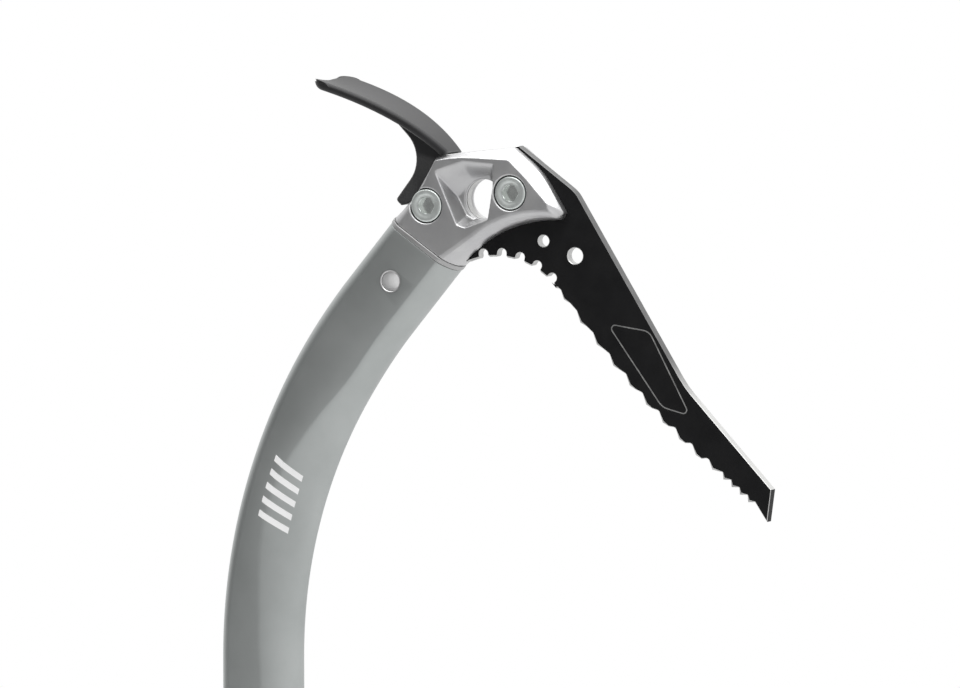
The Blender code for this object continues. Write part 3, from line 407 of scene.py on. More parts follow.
def whole(count):
    """Angles round a whole turn."""
    return [2 * math.pi * i / count for i in range(count)]


def eased(part):
    """A share from 0 to 1 that starts and ends slowly."""
    return part * part * (3 - 2 * part)


def between(start, end, part):
    return [a + (b - a) * part for a, b in zip(start, end)]


def mirrored(profile):
    """The (radius, y) pairs of a profile's other end, in the order that follows on from it."""
    return [(radius, -y) for radius, y in reversed(profile)]


def loft(name, rings, around=False):
    """A skin over rings of equally many points. It ends in caps, or joins up around."""
    bm = bmesh.new()
    rows = [[bm.verts.new(point) for point in ring] for ring in rings]
    pairs = list(zip(rows, rows[1:]))
    if around:
        pairs.append((rows[-1], rows[0]))
    else:
        bm.faces.new(rows[0])
        bm.faces.new(rows[-1])
    for low, high in pairs:
        for i in range(len(low)):
            bm.faces.new((low[i - 1], low[i], high[i], high[i - 1]))
    return mesh_object(name, bm)


def turned(name, profile, x, z, closed=False, sides=64):
    """Turns (radius, y) pairs about an axis along Y."""
    turns = whole(sides)
    rings = []
    for radius, y in profile:
        rings.append([(x + radius * math.cos(t), y, z + radius * math.sin(t)) for t in turns])
    return loft(name, rings, around=closed)


def rod(name, radius, x, z, near, far, sides=48):
    return turned(name, [(radius, near), (radius, far)], x, z, sides=sides)


def bore(name, radius, x, z, reach=BORE_REACH):
    """The tool for a hole along Y that leaves play round a bar of this radius."""
    return rod(name, radius + GAP, x, z, -reach, reach)


def upright(name, profile, x, sides=32):
    """Turns (radius, z) pairs about an axis along Z on the middle plane."""
    turns = whole(sides)
    rings = [[(x + radius * math.cos(t), radius * math.sin(t), z) for t in turns] for radius, z in profile]
    return loft(name, rings)


def block(name, low, high):
    bm = bmesh.new()
    bmesh.ops.create_cube(bm, size=1)
    size = Vector(high) - Vector(low)
    bmesh.ops.scale(bm, verts=bm.verts, vec=size)
    bmesh.ops.translate(bm, verts=bm.verts, vec=Vector(low) + size / 2)
    return mesh_object(name, bm)


def rounded(corners, segments=None):
    """(x, z) points of an outline whose corners (x, z, radius) are rounded by arcs."""
    points = []
    for i, (x, z, radius) in enumerate(corners):
        corner = Vector((x, z))
        if not radius:
            points.append((x, z))
            continue
        back = (Vector(corners[i - 1][:2]) - corner).normalized()
        ahead = (Vector(corners[(i + 1) % len(corners)][:2]) - corner).normalized()
        half = back.angle(ahead) / 2
        centre = corner + (back + ahead).normalized() * radius / math.sin(half)
        start = corner + back * radius / math.tan(half) - centre
        turn = (math.pi - 2 * half) * (1 if back.cross(ahead) < 0 else -1)
        count = segments or max(2, math.ceil(abs(turn) / ARC_STEP))
        for k in range(count + 1):
            points.append(tuple(centre + Matrix.Rotation(turn * k / count, 2) @ start))
    return points


def arc(centre, radius, start, end, count):
    """Points of a circle, by angles measured from straight up towards +x."""
    angles = [start + (end - start) * i / count for i in range(count + 1)]
    return [(centre[0] + radius * math.sin(a), centre[1] + radius * math.cos(a)) for a in angles]


def circle(x, z, radius, count=48):
    return arc((x, z), radius, 0, 2 * math.pi, count)[:-1]


def scaled(outline):
    return [(x * MM, z * MM) for x, z in outline]


def plate(name, loops, near, far):
    """Flat outlines in the XZ plane, filled from Y = near to Y = far. Inner loops are holes."""
    curve = bpy.data.curves.new(name, "CURVE")
    curve.dimensions = "2D"
    curve.fill_mode = "BOTH"
    curve.extrude = (far - near) / 2
    for loop in loops:
        spline = curve.splines.new("POLY")
        spline.points.add(len(loop) - 1)
        for point, (x, z) in zip(spline.points, loop):
            point.co = (x, z, 0, 1)
        spline.use_cyclic_u = True
    flat = bpy.data.objects.new(name + "_outline", curve)
    flat.location.y = (near + far) / 2
    flat.rotation_euler.x = math.pi / 2
    bpy.context.scene.collection.objects.link(flat)
    graph = bpy.context.evaluated_depsgraph_get()
    graph.update()
    filled = bpy.data.meshes.new_from_object(flat.evaluated_get(graph))
    bm = bmesh.new()
    bm.from_mesh(filled)
    bmesh.ops.transform(bm, matrix=flat.matrix_world, verts=bm.verts)
    bpy.data.objects.remove(flat)
    bpy.data.meshes.remove(filled)
    return mesh_object(name, bm)


def inset(loop, width_at, hole):
    """The loop moved into its plate by width_at(x, z), mitred at its corners."""
    after = loop[1:] + loop[:1]
    area = sum(a[0] * b[1] - b[0] * a[1] for a, b in zip(loop, after))
    inward = 1 if (area > 0) != hole else -1
    moved = []
    for i, here in enumerate(loop):
        back = (Vector(here) - Vector(loop[i - 1])).normalized()
        ahead = (Vector(after[i]) - Vector(here)).normalized()
        square = Vector((-back.y - ahead.y, back.x + ahead.x)).normalized()
        mitre = min(LONGEST_MITRE, 1 / max(0.1, square.dot(Vector((-ahead.y, ahead.x)))))
        moved.append(tuple(Vector(here) + square * inward * width_at(*here) * mitre))
    return moved


def chamfered(name, loops, half, width_at):
    """A plate from Y = -half to half, outlined in millimetres. Its edges are bevelled by
    width_at(x, z), and all but its two flat sides has material slot 1."""
    insets = [inset(loop, width_at, hole=i > 0) for i, loop in enumerate(loops)]
    flat = plate(name + "_side", [scaled(loop) for loop in insets], 0, 0)
    bm = bmesh.new()
    for side in (-half, half):
        start = len(bm.verts)
        bm.from_mesh(flat.data)
        bm.verts.ensure_lookup_table()
        for vert in bm.verts[start:]:
            vert.co.y = side
    bpy.data.objects.remove(flat)
    for loop, moved in zip(loops, insets):
        rows = []
        for side in (-1, 1):
            top = [bm.verts.new((x * MM, side * half, z * MM)) for x, z in moved]
            wall = [bm.verts.new((x * MM, side * (half - width_at(x, z) * MM), z * MM)) for x, z in loop]
            rows += [top, wall] if side < 0 else [wall, top]
        for low, high in zip(rows, rows[1:]):
            for i in range(len(loop)):
                face = bm.faces.new((low[i - 1], low[i], high[i], high[i - 1]))
                face.material_index = 1
    obj = mesh_object(name, bm)
    obj.data.materials.append(None)
    obj.data.materials.append(None)
    return obj


# --- the shaft's path and section ----------------------------------------------------


def shaft_place(down):
    """Centre (x, z) of the shaft and its lean from vertical, this far below the collar."""
    if down <= NECK_LENGTH:
        x = COLLAR[0] - down * math.sin(BEND_ANGLE)
        return x, COLLAR[1] - down * math.cos(BEND_ANGLE), BEND_ANGLE
    lean = BEND_ANGLE - (down - NECK_LENGTH) / BEND_RADIUS
    if lean <= 0:
        return SHAFT_X, BEND_FOOT_Z + NECK_LENGTH + BEND_LENGTH - down, 0.0
    x = SHAFT_X + BEND_RADIUS * (1 - math.cos(lean))
    return x, BEND_FOOT_Z + BEND_RADIUS * math.sin(lean), lean


def crease_line(down):
    """Straight lines through the crease's stations, in millimetres."""
    for (low, start), (high, end) in zip(CREASES, CREASES[1:]):
        if down < high:
            return start + (end - start) * max(0, (down - low) / (high - low))
    return CREASES[-1][1]


def crease_at(down):
    """How far ahead of the shaft's axis its flat side ends."""
    places = [down / MM + CREASE_BLUR * k / 4 for k in range(-4, 5)]
    return sum(crease_line(place) for place in places) / len(places) * MM


def front_width(turn, length, wide):
    """Half width at this turn of the front curve, whose length is from crease to front edge."""
    return (wide - FRONT_SLOPE * length * math.sin(turn)) * math.cos(turn)


def width_at(down, depth):
    """Half of the shaft's width this far ahead of its axis."""
    crease = crease_at(down)
    length = SHAFT_DEPTH / 2 - crease
    turn = math.asin(min(1, max(0, (depth - crease) / length)))
    return front_width(turn, length, SHAFT_WIDTH / 2)


def shaft_section(down, grow, swell=0.0):
    """Ring of (depth, width) pairs. The flat side ends at a crease."""
    crease = crease_at(down)
    rear = REAR_ROUND - SHAFT_DEPTH / 2
    deep = SHAFT_DEPTH / 2 + grow
    wide = SHAFT_WIDTH / 2 + grow
    turns = quarter(QUARTER_STEPS)
    half = [(rear - (deep + rear) * math.cos(t), wide * math.sin(t)) for t in turns]
    length = deep - crease
    half += [(crease + (length + swell) * math.sin(t), front_width(t, length, wide)) for t in turns]
    return half + [(depth, -width) for depth, width in reversed(half[1:-1])]


def shaft_point(down, depth, width):
    x, z, lean = shaft_place(down)
    along = depth * math.tan(COLLAR_TILT) * min(1, max(0, 1 - down / NECK_LENGTH))
    return (
        x + depth * math.cos(lean) + along * math.sin(lean),
        width,
        z - depth * math.sin(lean) + along * math.cos(lean),
    )


def shaft_ring(down, grow, swell=0.0):
    """The shaft's section in place, all round bigger by grow and at its front by swell."""
    return [shaft_point(down, *pair) for pair in shaft_section(down, grow, swell)]


def from_end(up):
    """Distance below the collar of a place this far above the shaft's lower end."""
    return SHAFT_LENGTH - up


def stations(start, end, step):
    count = max(1, math.ceil((end - start) / step))
    return [start + (end - start) * i / count for i in range(count + 1)]


def sleeve(name, start, end, inner, outer, edge=0.0):
    """A tube around the shaft's path, its outer edges rounded by edge."""
    turns = quarter(4) if edge else []
    rounding = [(edge * (1 - math.sin(t)), outer - edge * (1 - math.cos(t))) for t in turns]
    rings = [shaft_ring(start + along, grow) for along, grow in reversed(rounding)]
    rings += [shaft_ring(s, outer) for s in stations(start + edge, end - edge, OUTSIDE_STEP)]
    rings += [shaft_ring(end - along, grow) for along, grow in rounding]
    rings += [shaft_ring(s, inner) for s in reversed(stations(start, end, INSIDE_STEP))]
    return loft(name, rings, around=True)


# --- head ----------------------------------------------------------------------------


def collar_corner(depth):
    """Corner of a head outline on the joint's plane, this far ahead of the shaft's axis."""
    x, _, z = shaft_point(0, depth, 0)
    return x / MM, z / MM, COLLAR_CORNER


def head_lines(segments=6, spacing=1.2):
    """Pairs of points on the cheek's and the rim's outlines, each with its edge's style."""
    half = SHAFT_DEPTH / 2
    cheek = [collar_corner(REAR_ROUND - half), *HEAD_CHEEK, collar_corner(CREASE_HIGH)]
    rim = [collar_corner(-half), *[c[:3] for c in HEAD_RIM], collar_corner(half)]
    styles = [(1, COLLAR_RIM), *[c[3:] for c in HEAD_RIM], (1, COLLAR_RIM)]
    rows = []
    for i, (inner, outer) in enumerate(zip(rounded(cheek, segments), rounded(rim, segments))):
        rows.append(Vector((*inner, *outer)).to_tuple() + styles[i // (segments + 1)])
    lines = []
    for row, after in zip(rows, rows[1:] + rows[:1]):
        count = max(1, round(math.dist(row[2:4], after[2:4]) / spacing))
        for k in range(count):
            part = k / count
            place = between(row[:4], after[:4], part)
            lines.append((place[:2], place[2:], *between(row[4:], after[4:], eased(part))))
    return lines


def head_ring(share, side):
    """The head's skin from its cheek (share 0) out to its rim (share 1)."""
    turn = share * math.pi / 2
    ring = []
    for inner, outer, round_share, rim_half in head_lines():
        out = share + (math.sin(turn) - share) * round_share
        deep = share + (1 - math.cos(turn) - share) * round_share
        y = HEAD_WIDTH / 2 + (rim_half * MM - HEAD_WIDTH / 2) * deep
        x, z = Vector(inner).lerp(Vector(outer), out) * MM
        ring.append((x, side * y, z))
    return ring


def scoop(side, steps=10, spread=8):
    """The hollow round the eye: its wall falls softly from the cheek where the rim says."""
    corners = list(zip(SCOOP_RIM, SCOOP_FLOOR))
    rings = []
    for k in range(-1, steps + 1):
        share = max(0, k) / steps
        ring = []
        for (rim, floor), (rim_after, floor_after) in zip(corners, corners[1:] + corners[:1]):
            for j in range(spread):
                part = j / spread
                start = Vector(rim[:2]).lerp(Vector(rim_after[:2]), part)
                end = Vector(floor).lerp(Vector(floor_after), part)
                soft = rim[2] + (rim_after[2] - rim[2]) * part
                deep = SCOOP_DEEP * (share + (eased(share) - share) * soft)
                x, z = start.lerp(end, share)
                y = HEAD_WIDTH / 2 + (SCOOP_START - deep) * MM + (CLEAR if k < 0 else 0)
                ring.append((x * MM, side * y, z * MM))
        rings.append(ring)
    return loft(f"scoop_{side}", rings)


def eye_outline(count=48):
    """The carabiner eye: a circle cut flat at the front."""
    top, bottom = EYE_FLAT
    return arc((0, 0), EYE_RADIUS, bottom, top + 2 * math.pi, count)


def make_head(alloy):
    shares = [k / 6 for k in range(7)]
    rings = [head_ring(s, -1) for s in shares] + [head_ring(s, 1) for s in reversed(shares)]
    head = loft("head_body", rings)
    plug = [shaft_ring(s, INSIDE) for s in stations(-PLUG_OVERLAP, PLUG_LENGTH, PLUG_STEP)]
    join(head, loft("head_plug", plug))
    face = HEAD_WIDTH / 2
    reach = face + CLEAR
    x, z, _ = shaft_place(EYELET_DOWN)
    tools = [
        plate("slot_tool", [scaled(SLOT)], -SLOT_HALF, SLOT_HALF),
        plate("eye_tool", [scaled(eye_outline())], -reach, reach),
        scoop(-1), scoop(1),
        bore("plug_bore", EYELET_OUTER, x, z, reach),
    ]
    recess = [(BOLT_RECESS, BOLT_SEAT), (BOLT_RECESS, face - RECESS_BEVEL),
              (BOLT_RECESS + RECESS_BEVEL, face), (BOLT_RECESS + RECESS_BEVEL, reach)]
    for place, (bolt_x, bolt_z) in BOLTS.items():
        tools.append(bore(f"{place}_bore", BOLT_SHANK, bolt_x, bolt_z, reach))
        for side in (-1, 1):
            sunk = [(radius, side * y) for radius, y in recess]
            tools.append(turned(f"{place}_recess_{side}", sunk, bolt_x, bolt_z))
    cut(head, *tools)
    soften(head, voxel=0.3 * MM, rounds=6, keep=0.15)
    piece(head, "axe", ["head"], "forged_alloy", alloy, sharp=0)


def make_shaft(alloy, rubber, bright, print_white):
    top = GAP + GASKET_THICK + GAP
    gasket = sleeve("head_gasket_ring", GASKET_FIT, top - GASKET_FIT, -SHAFT_WALL, GASKET_LIP,
                    edge=0.35 * MM)
    piece(gasket, "axe", ["head_gasket"], "rubber", rubber)
    tube = sleeve("shaft_body", top, SHAFT_LENGTH, -SHAFT_WALL, 0, edge=0.3 * MM)
    side = SHAFT_WIDTH / 2
    reach = side + CLEAR
    x, z, _ = shaft_place(EYELET_DOWN)
    tools = [rod("shaft_bore", EYELET_OUTER + EYELET_FIT, x, z, -reach, reach)]
    for place, up in PIN_HEIGHTS.items():
        tools.append(bore(f"{place}_pin_bore", PIN_RADIUS, SHAFT_X, SHAFT_END_Z + up, reach))
    cut(tube, *tools)
    piece(tube, "axe", ["shaft_tube"], "shaft_aluminium", alloy)
    lip = [(EYELET_BORE + EYELET_LIP * (1 - math.sin(t)), -side + EYELET_LIP * (1 - math.cos(t)))
           for t in reversed(quarter(6))]
    profile = [(EYELET_OUTER, -side), (EYELET_OUTER, side), *mirrored(lip), *lip]
    piece(turned("shaft_eyelet_rivet", profile, x, z, closed=True), "axe", ["shaft_eyelet"],
          "bolt_steel", bright)
    make_mark(print_white)


def make_mark(print_white):
    """Slanted bars printed on the near side of the shaft."""
    start, end = MARK_DEPTHS
    section = ((0, MARK_LIFT), (MARK_BAR, MARK_LIFT), (MARK_BAR, -MARK_LIFT), (0, -MARK_LIFT))
    for i in range(MARK_BARS):
        top = (MARK_DOWN + MARK_PITCH * i) * MM
        rings = []
        for k in range(MARK_STEPS + 1):
            depth = (start + (end - start) * k / MARK_STEPS) * MM
            down = top + (depth - start * MM) * MARK_SLANT
            rings.append([shaft_point(down + s, depth, -width_at(down + s, depth) - y)
                          for s, y in section])
        bar = loft(f"print_bar_{i + 1}", rings)
        bar.data.materials.append(print_white)
        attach(bar, "axe")


# --- bolts ---------------------------------------------------------------------------


def hex_corner(across):
    """Radius to the corners of a hexagon this far across its flats."""
    return across / math.sqrt(3)


def shade_socket(obj, x, z, across):
    """Gives the walls and floor of a hex socket material slot 1."""
    reach = hex_corner(across) + NEAR
    top = HEAD_WIDTH / 2 - BOLT_SUNK
    obj.data.materials.append(None)
    obj.data.materials.append(None)
    for face in obj.data.polygons:
        near_axis = math.dist((face.center.x, face.center.z), (x, z)) < reach
        in_socket = SOCKET_SHADE < top - abs(face.center.y) < HEX_DEEP + 0.1 * MM
        face.material_index = 1 if near_axis and in_socket else 0


def make_bolts(zinc, socket):
    """In each place a washer and a bolt in the near recess, and a nut in the far one."""
    top = HEAD_WIDTH / 2 - BOLT_SUNK
    seat = BOLT_SEAT + GAP
    washer_near = seat + WASHER_THICK
    under_head = washer_near + GAP
    shank_end = top - HEX_DEEP - GAP
    bore_radius = BOLT_SHANK + GAP
    washer_flat = BOLT_HEAD - WASHER_BEVEL
    washer = [(BOLT_HEAD, -washer_near + WASHER_BEVEL), (BOLT_HEAD, -seat - WASHER_BEVEL),
              (washer_flat, -seat), (bore_radius, -seat), (bore_radius, -washer_near),
              (washer_flat, -washer_near)]
    edge = [(BOLT_HEAD - BOLT_ROUND + BOLT_ROUND * math.sin(t), BOLT_ROUND - BOLT_ROUND * math.cos(t) - top)
            for t in quarter(5)]
    corner, nut_corner = hex_corner(HEX_ACROSS), hex_corner(NUT_HEX_ACROSS)
    dish = corner + DISH_FLAT
    shape = [(dish, DISH_DEEP - top), (dish + DISH_SLOPE, -top), *edge, (BOLT_HEAD, -under_head),
             (BOLT_SHANK, -under_head), (BOLT_SHANK, shank_end - SHANK_BEVEL),
             (BOLT_SHANK - SHANK_BEVEL, shank_end)]
    barrel = [(bore_radius, seat), (BOLT_HEAD, seat), *mirrored(edge), (bore_radius, top)]
    lead = [(corner + LEAD_WIDE, -top - GAP), (HEX_ACROSS / 2, BOLT_LEAD - top)]
    nut_lead = [(NUT_HEX_ACROSS / 2, top - NUT_LEAD), (nut_corner + LEAD_WIDE, top + GAP)]
    for place, (x, z) in BOLTS.items():
        piece(turned(f"{place}_washer_disc", washer, x, z, closed=True), "axe", [f"{place}_washer"],
              "bolt_steel", zinc)
        bolt = turned(f"{place}_bolt_body", shape, x, z)
        cut(bolt, rod(f"{place}_socket", corner, x, z, -top - GAP, HEX_DEEP - top, 6),
            turned(f"{place}_lead", lead, x, z))
        shade_socket(bolt, x, z, HEX_ACROSS)
        piece(bolt, "axe", [f"{place}_bolt"], "bolt_steel", zinc, socket)
        nut = turned(f"{place}_nut_body", barrel, x, z, closed=True)
        cut(nut, rod(f"{place}_nut_socket", nut_corner, x, z, top - HEX_DEEP, top + GAP, 6),
            turned(f"{place}_nut_lead", nut_lead, x, z))
        shade_socket(nut, x, z, NUT_HEX_ACROSS)
        piece(nut, "axe", [f"{place}_nut"], "bolt_steel", zinc, socket)


# --- blades --------------------------------------------------------------------------


def tooth_line(x):
    """Height of the line through the main teeth's tips."""
    line_x, line_z, slope, curve = TOOTH_LINE
    off = x - line_x
    return line_z + slope * off + curve * off * off


def belly():
    """The pick's lower edge below the head: an arc with round-ended, round-lipped notches."""
    points = []
    pitch = (BELLY_TO - BELLY_FROM) / (BELLY_NOTCHES + 0.5)
    half = NOTCH_HALF / BELLY_RADIUS
    for i in range(BELLY_NOTCHES):
        middle = BELLY_FROM + pitch * (i + 0.95)
        start = middle - pitch + half if i else BELLY_FROM
        bridge = [(*place, 0) for place in arc(BELLY_CENTRE, BELLY_RADIUS, start, middle - half, 4)]
        lips = (bridge[0][:2] + (NOTCH_LIP if i else 0,), bridge[-1][:2] + (NOTCH_LIP,))
        points += [lips[0], *bridge[1:-1], lips[1]]
        outward = Vector((math.sin(middle), math.cos(middle)))
        across = Vector((math.cos(middle), -math.sin(middle)))
        centre = Vector(BELLY_CENTRE) + outward * (BELLY_RADIUS + NOTCH_DEEP - NOTCH_HALF)
        for k in range(13):
            turn = math.pi * k / 12
            spoke = -across * math.cos(turn) + outward * math.sin(turn)
            points.append((*(centre + spoke * NOTCH_HALF), 0))
    last = BELLY_FROM + pitch * (BELLY_NOTCHES - 0.05) + half
    end = [(*place, 0) for place in arc(BELLY_CENTRE, BELLY_RADIUS, last, BELLY_TO, 3)]
    return points + [end[0][:2] + (NOTCH_LIP,), *end[1:]]


def main_tips():
    xs = [FIRST_TOOTH_X - TOOTH_PITCH * i for i in range(MAIN_TEETH + 1)]
    return [(x, tooth_line(x)) for x in xs]


def end_tips():
    return [(END_TOOTH[0] - END_PITCH[0] * i, END_TOOTH[1] + END_PITCH[1] * i) for i in range(END_TEETH)]


def main_teeth():
    points = []
    tips = main_tips()
    for i in reversed(range(len(tips))):
        x, z = tips[i]
        points += [(x - TOOTH_RISE[0], z + TOOTH_RISE[1], GULLET), (x, z, 0)]
        if i:
            points.append((x + TOOTH_HEEL[0], z - TOOTH_HEEL[1], 0))
    return points


def end_teeth():
    points = []
    for x, z in reversed(end_tips()):
        points += [(x, z + END_TOOTH_RISE, END_GULLET), (x, z, 0)]
    return points


def behind_back(x, z):
    """How far this place lies inside the pick's back edge, measured downwards."""
    if x <= BACK_FROM:
        return math.inf
    (knee_x, knee_z, _), (end_x, end_z, _) = PICK_TOP[-2:]
    if x < knee_x:
        return knee_z - BACK_SLOPES[0] * (x - knee_x) - z
    if x < end_x:
        return knee_z - BACK_SLOPES[1] * (x - knee_x) - z
    return end_z - BACK_SLOPES[2] * (x - end_x) - z


def pick_bevel(x, z):
    """Width of the pick's bevel: wide at the tips of its teeth, narrow along its back."""
    if behind_back(x, z) < BACK_BAND:
        return BACK_BEVEL
    if math.dist((x, z), BELLY_CENTRE) < BELLY_RADIUS + 0.6:
        return BELLY_BEVEL
    if math.hypot(x, z) < EYE_RADIUS + 1:
        return EYE_BEVEL
    nearest = min(math.dist((x, z), tip) for tip in main_tips() + end_tips())
    return GULLET_BEVEL + TIP_BEVEL_MORE * max(0, 1 - nearest / TIP_REACH)


def make_pick(black, bare, back):
    nose = [(x, z, 0) for x, z in PICK_NOSE]
    lower = belly() + main_teeth() + end_teeth()
    outline = rounded(PICK_TOP + nose + lower[::-1] + [(*PICK_HEEL, 0)] + PICK_TANG)
    holes = [circle(x, z, r) for x, z, r in PICK_HOLES]
    holes += [circle(x / MM, z / MM, (BOLT_SHANK + GAP) / MM) for x, z in BOLTS.values()]
    pick = chamfered("pick_blade", [outline, eye_outline(), *holes], PICK_HALF, pick_bevel)
    outer = rounded(ENGRAVING, 5)
    loops = [scaled(outer), scaled(inset(outer, lambda x, z: ENGRAVING_LINE, hole=False))]
    cut(pick, plate("lines_near", loops, -PICK_HALF - ENGRAVING_DEEP, -PICK_HALF + ENGRAVING_DEEP),
        plate("lines_far", loops, PICK_HALF - ENGRAVING_DEEP, PICK_HALF + ENGRAVING_DEEP),
        block("pick_lap", (-LAP_REACH, GAP / -2, -LAP_REACH), (LAP_X * MM, PICK_HALF + GAP, 30 * MM)))
    for face in pick.data.polygons:
        x, _, z = face.center / MM
        on_side = abs(face.normal.y) > 0.99 and abs(face.center.y) > PICK_HALF - NEAR
        on_nose = face.normal.x > 0.9 and z < PICK_NOSE[0][1]
        on_back = face.normal.x > 0.3 and behind_back(x, z) < BACK_BAND
        face.material_index = 0 if on_side or on_nose else 2 if on_back else 1
    piece(pick, "axe", ["pick"], "blade_black", black, bare, back, sharp=20)


def blade_place(t):
    """Top of the adze's blade at t from root to tip, and the direction square to it."""
    start, bend, end = Vector(ADZE_ROOT), Vector(ADZE_BEND), Vector(ADZE_TIP)
    point = start * (1 - t) ** 2 + bend * 2 * t * (1 - t) + end * t * t
    along = ((bend - start) * (1 - t) + (end - bend) * t).normalized()
    return point, Vector((-along.y, along.x)) * -1


def adze_reach(share):
    """How far along the blade its edge lies: two lobes, a dip between them, round corners."""
    from_side = ADZE_TIP_HALF * (1 - abs(share))
    setback = ADZE_DIP * math.cos(math.pi / 2 * share) ** 2
    if from_side < ADZE_CORNER:
        setback += ADZE_CORNER - math.sqrt(ADZE_CORNER ** 2 - (ADZE_CORNER - from_side) ** 2)
    return 1 - setback / math.dist(ADZE_ROOT, ADZE_TIP)


def adze_ring(station, columns=36):
    """Section across the blade: grooved along its middle, rounded at its sides."""
    top, bottom = [], []
    from_tip = (1 - station) * math.dist(ADZE_ROOT, ADZE_TIP)
    body = min(ADZE_THICK, ADZE_EDGE_THICK + from_tip * ADZE_TAPER) / 2
    if from_tip < ADZE_EDGE_ROUND:
        body *= max(ADZE_BLUNT, math.sqrt(1 - (1 - from_tip / ADZE_EDGE_ROUND) ** 2))
    for i in range(columns + 1):
        share = -math.cos(math.pi * i / columns)
        t = station * adze_reach(share)
        point, square = blade_place(t)
        half = ADZE_ROOT_HALF + (ADZE_TIP_HALF - ADZE_ROOT_HALF) * math.sin(math.pi / 2 * min(1, t))
        from_side = min(half * (1 - abs(share)), body)
        around = body * math.sqrt(max(0, 1 - (1 - from_side / body) ** 2))
        height = -ADZE_GROOVE * t * t * (1 - share * share)
        for row, drop in ((top, body - around), (bottom, body + around)):
            x, z = point + square * (height - drop)
            row.append((x * MM, half * share * MM, z * MM))
    return top + bottom[::-1]


def head_clearance_outline():
    """The head's rim outline, moved out all round."""
    half = SHAFT_DEPTH / 2
    corners = [collar_corner(-half), *[c[:3] for c in HEAD_RIM], collar_corner(half)]
    rim = [Vector(p) for p in rounded(corners, 3)]
    moved = []
    for i, point in enumerate(rim):
        back = (point - rim[i - 1]).normalized()
        ahead = (rim[(i + 1) % len(rim)] - point).normalized()
        along = (back + ahead).normalized()
        moved.append(tuple(point + Vector((-along.y, along.x)) * HEAD_CLEARANCE))
    return moved


def make_adze(grey, web_black):
    adze = loft("adze_blade", [adze_ring(t) for t in [*stations(0, 0.94, 0.025), *ADZE_EDGE_STATIONS]])
    spine = []
    for t in WEB_SPINE:
        point, square = blade_place(t)
        spine.append((*(point - square * (ADZE_GROOVE * t * t + ADZE_THICK / 2)), 0))
    join(adze, chamfered("adze_web", [rounded(spine + WEB_BACK)], WEB_HALF, lambda x, z: WEB_BEVEL))
    wide = 2 * ADZE_TIP_HALF * MM
    cut(adze, plate("adze_clearance", [scaled(head_clearance_outline())], -wide, wide))
    join(adze, plate("adze_tang", [scaled(rounded(ADZE_TANG))], GAP / 2, PICK_HALF))
    cut(adze, bore("adze_bore", BOLT_SHANK, *BOLTS["rear"], WEB_HALF))
    for face in adze.data.polygons:
        on_web = abs(face.center.y) < WEB_HALF + NEAR and face.normal.z < 0.5
        face.material_index = 1 if on_web else 0
    piece(adze, "axe", ["adze"], "adze_grey", grey, web_black)


# --- handle --------------------------------------------------------------------------


def make_grip(plastic, rubber):
    low, high = from_end(GRIP_FROM), from_end(GRIP_TO)
    core_outer = GAP + GRIP_CORE_WALL
    cover_outer = core_outer + GAP + GRIP_COVER_WALL
    ring, edge = GRIP_END_RING, GRIP_EDGE
    profile = [(0, cover_outer - edge), (edge / 3, cover_outer - edge / 3), (edge, cover_outer),
               (ring, cover_outer), (ring, core_outer)]
    rings = [shaft_ring(high + s, grow) for s, grow in profile]
    rings += [shaft_ring(low - s, grow) for s, grow in reversed(profile)]
    rings += [shaft_ring(s, GAP) for s in (low, high)]
    piece(loft("grip_core_body", rings, around=True), "axe", ["grip_core"], "moulded_plastic", plastic)
    start, end = high + ring + GAP, low - ring - GAP
    rings = []
    for s in stations(start, end, COVER_STEP):
        wave = (1 - math.cos(2 * math.pi * FINGER_WAVES * (s - start) / (end - start))) / 2
        base = shaft_section(s, cover_outer - GRIP_RIB, FINGER_SWELL * wave)
        proud = shaft_section(s, cover_outer, FINGER_SWELL * wave)
        ribbed = min(s - start, end - s) > PLAIN_END
        ring = []
        for inner, outer in zip(base, proud):
            depth, width = Vector(inner).lerp(Vector(outer), grip_rib(s, inner[0]) if ribbed else 1)
            ring.append(shaft_point(s, depth, width))
        rings.append(ring)
    rings += [shaft_ring(s, core_outer + GAP) for s in (end, start)]
    piece(loft("grip_cover_body", rings, around=True), "axe", ["grip_cover"], "rubber", rubber)


def grip_rib(down, depth):
    """Height from 0 to 1 of the grip's ribs, which meet in a V at the shaft's axis."""
    phase = 2 * math.pi * (down + RIB_SLANT * abs(depth)) / RIB_PITCH
    return min(1, max(0, 0.5 + RIB_STEEP * math.sin(phase)))


def ear_outline(pivot_x, pivot_z, radius, base, low, high):
    """A clevis ear: round about its pivot, and square from one x of its base to the other."""
    root, edge = base
    side = 1 if pivot_x > root else -1
    nose = arc((pivot_x, pivot_z), radius, 0, side * math.pi, 24)
    return [(root, high), (edge, high), *nose, (edge, low), (root, low)]


def join_ears(target, name, outline, inner):
    """Adds a clevis ear on each side, its inner face this far from the middle plane."""
    for side in (-1, 1):
        faces = sorted((side * inner, side * (inner + EAR_THICK)))
        join(target, plate(f"{name}_{side}", [outline], *faces))


